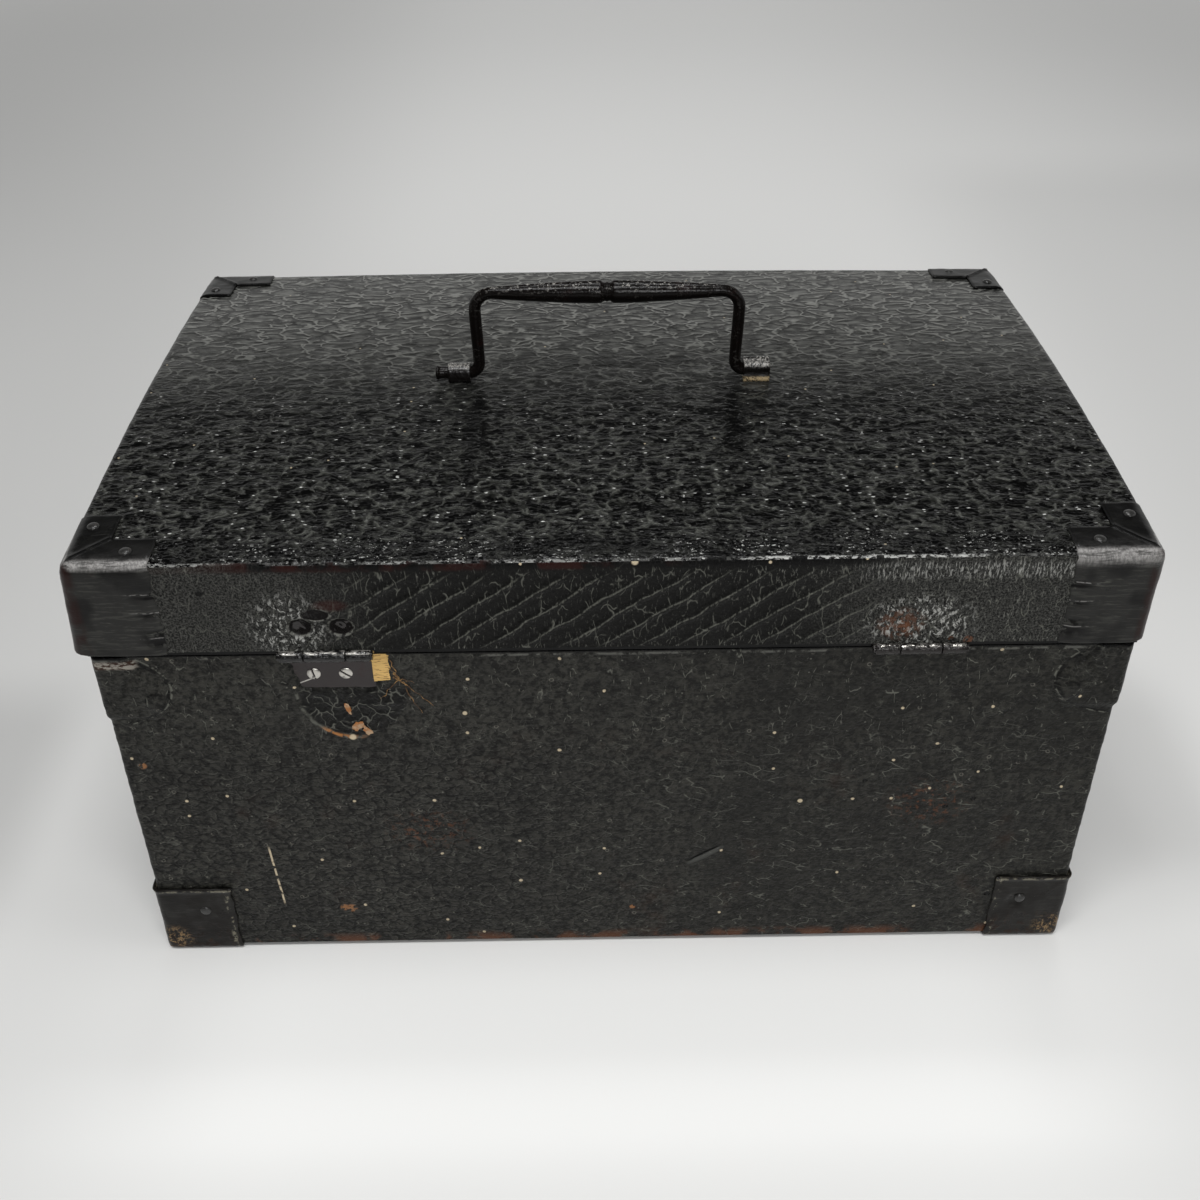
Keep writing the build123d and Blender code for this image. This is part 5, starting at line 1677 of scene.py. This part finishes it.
class MESSENGER_OT_nails(bpy.types.Operator):
    """Models one nail head and sets copies of it in the caps and patches"""

    bl_idname = "messenger.nails"
    bl_label = "Cap nails"
    bl_options = {"REGISTER", "UNDO"}

    def execute(self, context):
        small = add_dome("nail_dome", 2.3, 1.2)
        wide = add_dome("patch_nail_dome", 3.4, 0.9)
        lid, bottom, patch = [], [], []
        for sx in (-1, 1):
            for sy in (-1, 1):
                for x, y in ((192.0, 109.0), (176.5, 124.5)):
                    rise = CROWN * (1 - (y / LID_Y) ** 2) * 1.03
                    slope = 2 * CROWN * sy * y / LID_Y ** 2
                    lid.append(stand_on((0, slope, 1), (sx * x, sy * y, 207.2 + rise)))
                bottom.append(stand_on((0, sy, 0), (sx * 177.0, sy * 129.9, 25.0)))
                bottom.append(stand_on((sx, 0, 0), (sx * 197.4, sy * 109.5, 25.0)))
                patch.append(stand_on((0, sy, 0), (sx * 176.0, sy * 129.9, 142.0)))
                patch.append(stand_on((sx, 0, 0), (sx * 197.4, sy * 108.5, 142.0)))
        sets = (
            (small, lid, "lid_cap", "lid", "nail_iron"),
            (small, bottom, "bottom_cap", "case_body", "nail_iron"),
            (wide, patch, "top_patch", "case_body", "body_lacquer"),
        )
        for model, places, kind, body, surface in sets:
            copies = [copy_of(model, f"{kind}_nail_{i}", place) for i, place in enumerate(places)]
            heads = join(f"{kind}_nail_heads", copies)
            shape(heads, nail_marks)
            smooth(heads, 60)
            dress(heads, body, "nail_metal", finish(surface), f"{kind}_nails")
        bpy.data.objects.remove(small)
        bpy.data.objects.remove(wide)
        return {"FINISHED"}


# The left half of the grip: places along the case, and the radius at each
GRIP_SWELL = ((-42, 3.0), (-36, 3.45), (-30, 3.85), (-23, 4.25), (-15, 4.6), (-8, 4.82), (-3.2, 4.9))
GRIP_GROOVE = ((-2.5, 4.85), (-2.0, 4.4), (-1.2, 3.9), (-0.7, 3.85), (-0.4, 4.15), (0.0, 4.2))


def bail_forging(net, place, normal):
    """Splays the legs a little, draws the right head into its staple and leaves faint hammer marks."""
    x, _, z = net.parts(place)
    high = net.ramp(z, 217.0, 250.0)
    splay = 0.9 * net.ramp(x, 20.0, 55.0) * high - 0.8 * net.ramp(-x, 20.0, 55.0) * high
    short = 0.85 * net.most(x - 69.6, 0.0)
    marks = 0.3 * net.sway(place, 7.0)
    facet = 0.16 * (net.streaks(place, (0.3, 1.0, 1.0), 2.2) - 0.5)
    moved = net.scale(normal, (marks + facet) * net.ramp(z, 218.0, 222.0))
    return net.shift(moved, net.point(splay - short, 0.0, 0.0))


class MESSENGER_OT_handle(bpy.types.Operator):
    """Models the forged bail: end heads, feet, legs and the swelling grip with its groove"""

    bl_idname = "messenger.handle"
    bl_label = "Bail handle"
    bl_options = {"REGISTER", "UNDO"}

    def execute(self, context):
        y, pivot, grip_z = HANDLE_Y, HANDLE_Z, 251.5
        foot_x, leg_x, foot_bend, top_bend = -59.5, -55.0, 4.5, 7.5
        piece = add_ring("bail", (-74.1, y, pivot), 1.9, (0, math.pi / 2, 0), 20)
        self.here = Vector((-74.1, y, pivot))
        self.radius = 1.9
        with editing(piece, "EDGE"):
            fill_ring(piece)
            for move, radius in ((0.35, 2.8), (0.35, 3.2), (0.7, 3.1), (0.3, 2.6), (6.0, 2.65), (6.9, 2.6)):
                self.grow((move, 0, 0), radius)
            self.turn((foot_x, y, pivot + foot_bend), 90)
            self.here = Vector((leg_x, y, pivot + foot_bend))
            for share, radius in ((0.3, 2.55), (0.3, 2.65), (0.4, 2.6)):
                self.grow((0, 0, share * (grip_z - pivot - foot_bend - top_bend)), radius)
            self.turn((leg_x + top_bend, y, grip_z - top_bend), -90)
            self.here = Vector((leg_x + top_bend, y, grip_z))
            self.grow((1.5, 0, 0), 2.7)
            for place, radius in (*GRIP_SWELL, *GRIP_GROOVE):
                self.grow((place - self.here.x, 0, 0), radius)
        apply_modifier(
            piece, "MIRROR", use_axis=(True, False, False), use_mirror_merge=True, merge_threshold=1e-5
        )
        with editing(piece):
            face_outwards()
        apply_modifier(piece, "SUBSURF", levels=1, render_levels=1)
        shape(piece, bail_forging)
        smooth(piece, 45)
        dress(piece, "handle", "handle_metal", finish("forged_iron"), "handle_bail")
        return {"FINISHED"}

    def grow(self, move, radius):
        """Extrudes the open end of the tube and scales it to a radius."""
        extrude(move)
        self.here = self.here + Vector(move)
        factor = radius / self.radius
        bpy.ops.transform.resize(value=(factor,) * 3, center_override=self.here * MM)
        self.radius = radius

    def turn(self, centre, degrees):
        """Spins the tube's open end round a bend."""
        place = [c * MM for c in centre]
        bpy.ops.mesh.spin(steps=7, angle=math.radians(degrees), center=place, axis=(0, 1, 0))


def staple_squaring(net, place, amount):
    """Flattens the loop's top and front, as a strap hammered over does."""
    y, z = net.parts(place)[1:]
    across, up = (y - HANDLE_Y) / 3.3, (z - HANDLE_Z) / 3.3
    corner = amount * (4.0 * across * across * up * up)
    return net.point(0.0, across * corner, up * corner)


def staple_beating(net, place, normal):
    """Hammer marks on the strap."""
    return net.scale(normal, 0.5 * net.sway(place, 3.0, 3.0, 0.6))


class MESSENGER_OT_staples(bpy.types.Operator):
    """Models the straps that hold the handle's feet to the lid"""

    bl_idname = "messenger.staples"
    bl_label = "Handle staples"
    bl_options = {"REGISTER", "UNDO"}

    def execute(self, context):
        sizes = context.scene.case_sizes
        thick = sizes.strap / MM
        for side, x0, x1, square in (("left", -68.6, -59.0, 0.15), ("right", 58.8, 70.0, 0.8)):
            loop = self.loop(x0, x1, thick, 2.7 + thick / 2)
            shape(loop, lambda net, place, normal: staple_squaring(net, place, square))
            tail = add_box("strap_tail", (x0 + 0.2, HANDLE_Y - thick, 204.0), (x1 - 0.2, HANDLE_Y + thick, 212.2))
            piece = join(f"{side}_staple_strap", [loop, tail])
            apply_modifier(piece, "BEVEL", width=0.25 * MM, segments=2, limit_method="ANGLE", angle_limit=0.9)
            shape(piece, staple_beating)
            smooth(piece, 45)
            dress(piece, "lid", "handle_metal", finish("staple_iron"), f"{side}_handle_staple")
        return {"FINISHED"}

    def loop(self, x0, x1, thick, mean):
        """A strip's section spun all the way round the foot."""
        settle()
        centre = ((x0 + x1) / 2 * MM, HANDLE_Y * MM, (HANDLE_Z - mean) * MM)
        bpy.ops.mesh.primitive_plane_add(size=1.0, location=centre, rotation=(math.pi / 2, 0, 0))
        piece = bpy.context.object
        bpy.ops.transform.resize(value=((x1 - x0) * MM, 1, thick * MM), center_override=centre)
        bpy.ops.object.transform_apply(location=True, rotation=True, scale=True)
        with editing(piece, "EDGE"):
            bpy.ops.mesh.select_all(action="SELECT")
            bpy.ops.mesh.delete(type="ONLY_FACE")
            take(piece, "edges", lambda e: True)
            pivot = (0, HANDLE_Y * MM, HANDLE_Z * MM)
            bpy.ops.mesh.spin(steps=32, angle=2 * math.pi, center=pivot, axis=(1, 0, 0))
            bpy.ops.mesh.select_all(action="SELECT")
            bpy.ops.mesh.remove_doubles(threshold=1e-5)
            divide(piece, 0, 1.0 * MM)
            face_outwards()
        return piece


def add_knuckle(name, x0, x1):
    """A rolled hinge knuckle with eased ends."""
    piece = add_ring(name, (x0, HINGE_Y, HINGE_Z), 2.05, (0, math.pi / 2, 0), 24)
    with editing(piece, "EDGE"):
        fill_ring(piece)
        last = 2.05
        here = x0
        run = (x1 - x0 - 0.8) / 6
        for step, radius in [(0.4, 2.4)] + [(run, 2.4)] * 6 + [(0.4, 2.05)]:
            extrude((step, 0, 0))
            here += step
            centre = (here * MM, HINGE_Y * MM, HINGE_Z * MM)
            bpy.ops.transform.resize(value=(1, radius / last, radius / last), center_override=centre)
            last = radius
        bpy.ops.mesh.edge_face_add()
        face_outwards()
    return piece


def leaf_wear(net, place, normal):
    """Faint unevenness of the old leaves."""
    return net.scale(normal, 0.22 * net.sway(place, 2.6, 3.0, 0.6))


class MESSENGER_OT_hinges(bpy.types.Operator):
    """Models the hinge leaves with their rolled knuckles"""

    bl_idname = "messenger.hinges"
    bl_label = "Hinge leaves"
    bl_options = {"REGISTER", "UNDO"}

    def execute(self, context):
        for side, centre in (("left", -108.75), ("right", 115.25)):
            x0, x1 = centre - 17.25, centre + 17.25
            inner = (centre - 7.75, centre + 7.75)
            plate = add_box("plate", (x0, -127.75, 146.1), (x1, -126.5, 164.2))
            web = add_box("web", (inner[0], HINGE_Y, 163.1), (inner[1], -127.0, 164.2))
            body = join(f"{side}_hinge_body_plate", [plate, web, add_knuckle("knuckle", *inner)])
            plate = add_box("plate", (x0, -130.1, 165.0), (x1, -128.9, 182.7))
            outer = ((x0, inner[0] - 0.3), (inner[1] + 0.3, x1))
            webs = [add_box("web", (a, HINGE_Y, 164.95), (b, -129.4, 165.95)) for a, b in outer]
            knuckles = [add_knuckle("knuckle", a, b) for a, b in outer]
            lid = join(f"{side}_hinge_lid_plate", [plate, *webs, *knuckles])
            for piece, part, rides in ((body, "body", "case_body"), (lid, "lid", "lid")):
                with editing(piece):
                    for axis in (0, 2):
                        divide(piece, axis, 1.6 * MM)
                apply_modifier(piece, "BEVEL", width=0.2 * MM, segments=2, limit_method="ANGLE", angle_limit=1.2)
                shape(piece, leaf_wear)
                smooth(piece, 50)
                dress(piece, rides, "hinge_metal", finish("hinge_iron"), f"{side}_hinge_{part}_leaf")
        return {"FINISHED"}


class MESSENGER_OT_screws(bpy.types.Operator):
    """Models one slotted screw head and sets copies of it in the body's hinge leaves"""

    bl_idname = "messenger.screws"
    bl_label = "Hinge screws"
    bl_options = {"REGISTER", "UNDO"}

    def execute(self, context):
        model = add_ring("screw_head", (0, 0, 0), 1.5, (0, 0, 0), 28)
        with editing(model, "EDGE"):
            fill_ring(model)
            last = 1.5
            for rise, radius in ((1.0, 2.55), (0.35, 2.6), (0.22, 2.35), (0.12, 1.7), (0.05, 0.8)):
                extrude((0, 0, rise))
                bpy.ops.transform.resize(value=(radius / last, radius / last, 1), center_override=(0, 0, 0))
                last = radius
            bpy.ops.mesh.edge_face_add()
            face_outwards()
        cutter = add_box("slot_cutter", (-4.0, -0.38, 1.15), (4.0, 0.38, 3.0))
        apply_modifier(model, "BOOLEAN", operation="DIFFERENCE", object=cutter, solver="EXACT")
        bpy.data.objects.remove(cutter)
        heads = []
        for x, angle in ((-114.85, 12), (-102.65, 52), (109.15, 80), (121.35, 30)):
            face = stand_on((0, -1, 0), (x, -126.5, 153.2))
            heads.append(copy_of(model, f"screw_{x}", face @ Matrix.Rotation(math.radians(angle), 4, "Z")))
        bpy.data.objects.remove(model)
        piece = join("body_hinge_screw_heads", heads)
        smooth(piece, 35)
        dress(piece, "case_body", "screw_metal", finish("screw_steel"), "body_hinge_screws")
        return {"FINISHED"}


def add_strand(name, path, radii):
    """A thin tube pulled from point to point."""
    piece = add_ring(name, path[0], radii[0], (math.pi / 2, 0, 0), 7)
    with editing(piece, "EDGE"):
        fill_ring(piece)
        for before, here, last, radius in zip(path, path[1:], radii, radii[1:]):
            extrude([b - a for a, b in zip(before, here)])
            centre = [h * MM for h in here]
            bpy.ops.transform.resize(value=(radius / last,) * 3, center_override=centre)
        bpy.ops.mesh.edge_face_add()
        face_outwards()
    return piece


def torn_edge(net, place, normal):
    """Frays the strip of bare wood and draws fibres along it."""
    x, y, z = net.parts(place)
    edge = net.most(net.ramp(x, -86.8, -85.2), net.fall(z, 149.4, 151.0))
    fibre = net.streaks(place, (0.14, 1.0, 1.0), 0.9) - 0.5
    front = net.fall(y, -128.0, -127.6)
    return net.point(1.6 * net.sway(place, 1.5) * edge, front * (0.9 * fibre), 0.0)


# Where each torn fibre starts and ends on the hinge side, as x and z
FIBRES = (
    ((-85.5, 157.0), (-78.0, 146.0)), ((-84.5, 154.0), (-70.5, 138.0)), ((-83.0, 151.0), (-90.0, 141.5)),
    ((-85.2, 160.0), (-81.5, 150.0)), ((-80.0, 147.0), (-74.5, 134.5)), ((-84.8, 152.0), (-76.5, 149.5)),
)

# The crumbs of glue: x, z, width, height and turn in degrees
GLUE_CRUMBS = ((-103.8, 136.8, 3.6, 1.2, 18), (-100.5, 127.5, 3.2, 2.0, -35), (-97.0, 125.2, 2.8, 1.7, 30))


class MESSENGER_OT_worn_patch(bpy.types.Operator):
    """Models the bare wood, torn fibres and glue flakes beside the left hinge"""

    bl_idname = "messenger.worn_patch"
    bl_label = "Worn patch"
    bl_options = {"REGISTER", "UNDO"}

    def execute(self, context):
        bare = add_box("bare_wood_patch", (-92.2, -128.1, 149.4), (-85.2, -127.4, 163.9))
        with editing(bare):
            for axis in (0, 2):
                divide(bare, axis, 0.35 * MM)
        shape(bare, torn_edge)
        smooth(bare, 50)
        dress(bare, "case_body", "board_wood", finish("torn_wood"))
        chance = random.Random(7)
        strands = []
        for start, end in FIBRES:
            steps = 9
            path = []
            for i in range(steps + 1):
                share = i / steps
                x = start[0] + (end[0] - start[0]) * share + chance.uniform(-0.6, 0.6)
                z = start[1] + (end[1] - start[1]) * share + chance.uniform(-0.6, 0.6)
                path.append((x, -129.35 - 0.25 * math.sin(3.1 * share), z))
            radii = [chance.uniform(0.13, 0.26) * (1 - 0.5 * i / steps) for i in range(steps + 1)]
            strands.append(add_strand("strand", path, radii))
        fibres = join("torn_fibres", strands)
        smooth(fibres, 60)
        dress(fibres, "case_body", "black_covering", finish("torn_fibre"))
        piece = join("glue_flakes", [self.flake(*crumb, chance) for crumb in GLUE_CRUMBS])
        smooth(piece, 50)
        dress(piece, "case_body", "black_covering", finish("glue_flake"))
        return {"FINISHED"}

    def flake(self, x, z, wide, tall, turn, chance):
        """A crumb of glue with a random outline, stuck on the hinge side."""
        piece = add_ring("flake", (0, 0, 0), 1.0, (0, 0, 0), 14)
        with editing(piece, "EDGE"):
            mesh = bmesh.from_edit_mesh(piece.data)
            for vertex in mesh.verts:
                vertex.co *= chance.uniform(0.55, 1.1)
            bmesh.update_edit_mesh(piece.data)
            bpy.ops.mesh.select_all(action="SELECT")
            bpy.ops.transform.resize(value=(wide, tall, 1), center_override=(0, 0, 0))
            bpy.ops.mesh.edge_face_add()
            take(piece, "edges", lambda e: True)
            extrude((0, 0, 0.35))
            bpy.ops.transform.resize(value=(0.9, 0.85, 1), center_override=(0, 0, 0.35 * MM))
            bpy.ops.mesh.edge_face_add()
            face_outwards()
        piece.data.transform(stand_on((0, -1, 0), (x, -128.75, z)) @ Matrix.Rotation(math.radians(turn), 4, "Z"))
        return piece


class MESSENGER_OT_inside(bpy.types.Operator):
    """Gives the boards, lining, lock and small fastenings of the frame their finishes"""

    bl_idname = "messenger.inside"
    bl_label = "Boards, lining and lock"
    bl_options = {"REGISTER", "UNDO"}

    def execute(self, context):
        slots = {row["node"]: row["material_slot"] for row in frame["record"]["subparts"]}
        for name, node in frame["nodes"].items():
            material = finish(SLOT_FINISHES[slots[name]])
            node.data.materials.clear()
            node.data.materials.append(material)
        return {"FINISHED"}


OPERATORS = (
    MESSENGER_OT_stage,
    MESSENGER_OT_lid_covering,
    MESSENGER_OT_body_covering,
    MESSENGER_OT_lid_caps,
    MESSENGER_OT_bottom_caps,
    MESSENGER_OT_top_patches,
    MESSENGER_OT_nails,
    MESSENGER_OT_handle,
    MESSENGER_OT_staples,
    MESSENGER_OT_hinges,
    MESSENGER_OT_screws,
    MESSENGER_OT_worn_patch,
    MESSENGER_OT_inside,
)


class MESSENGER_PT_case(bpy.types.Panel):
    """The case's pieces, sizes and colours in the sidebar"""

    bl_idname = "MESSENGER_PT_case"
    bl_label = "Messenger Case"
    bl_space_type = "VIEW_3D"
    bl_region_type = "UI"
    bl_category = "Messenger Case"

    def draw(self, context):
        for operator in OPERATORS:
            self.layout.operator(operator.bl_idname)
        for group in (context.scene.case_sizes, context.scene.case_colours):
            box = self.layout.box()
            for name in group.__annotations__:
                box.prop(group, name)


CLASSES = (CaseSizes, CaseColours, *OPERATORS, MESSENGER_PT_case)


def register():
    for item in CLASSES:
        bpy.utils.register_class(item)
    bpy.types.Scene.case_sizes = bpy.props.PointerProperty(type=CaseSizes)
    bpy.types.Scene.case_colours = bpy.props.PointerProperty(type=CaseColours)


def unregister():
    del bpy.types.Scene.case_colours
    del bpy.types.Scene.case_sizes
    for item in reversed(CLASSES):
        bpy.utils.unregister_class(item)


def main():
    register()
    bpy.ops.messenger.stage()
    bpy.ops.messenger.lid_covering()
    bpy.ops.messenger.body_covering()
    bpy.ops.messenger.lid_caps()
    bpy.ops.messenger.bottom_caps()
    bpy.ops.messenger.top_patches()
    bpy.ops.messenger.nails()
    bpy.ops.messenger.handle()
    bpy.ops.messenger.staples()
    bpy.ops.messenger.hinges()
    bpy.ops.messenger.screws()
    bpy.ops.messenger.worn_patch()
    bpy.ops.messenger.inside()
    settle()


if __name__ == "__main__":
    main()
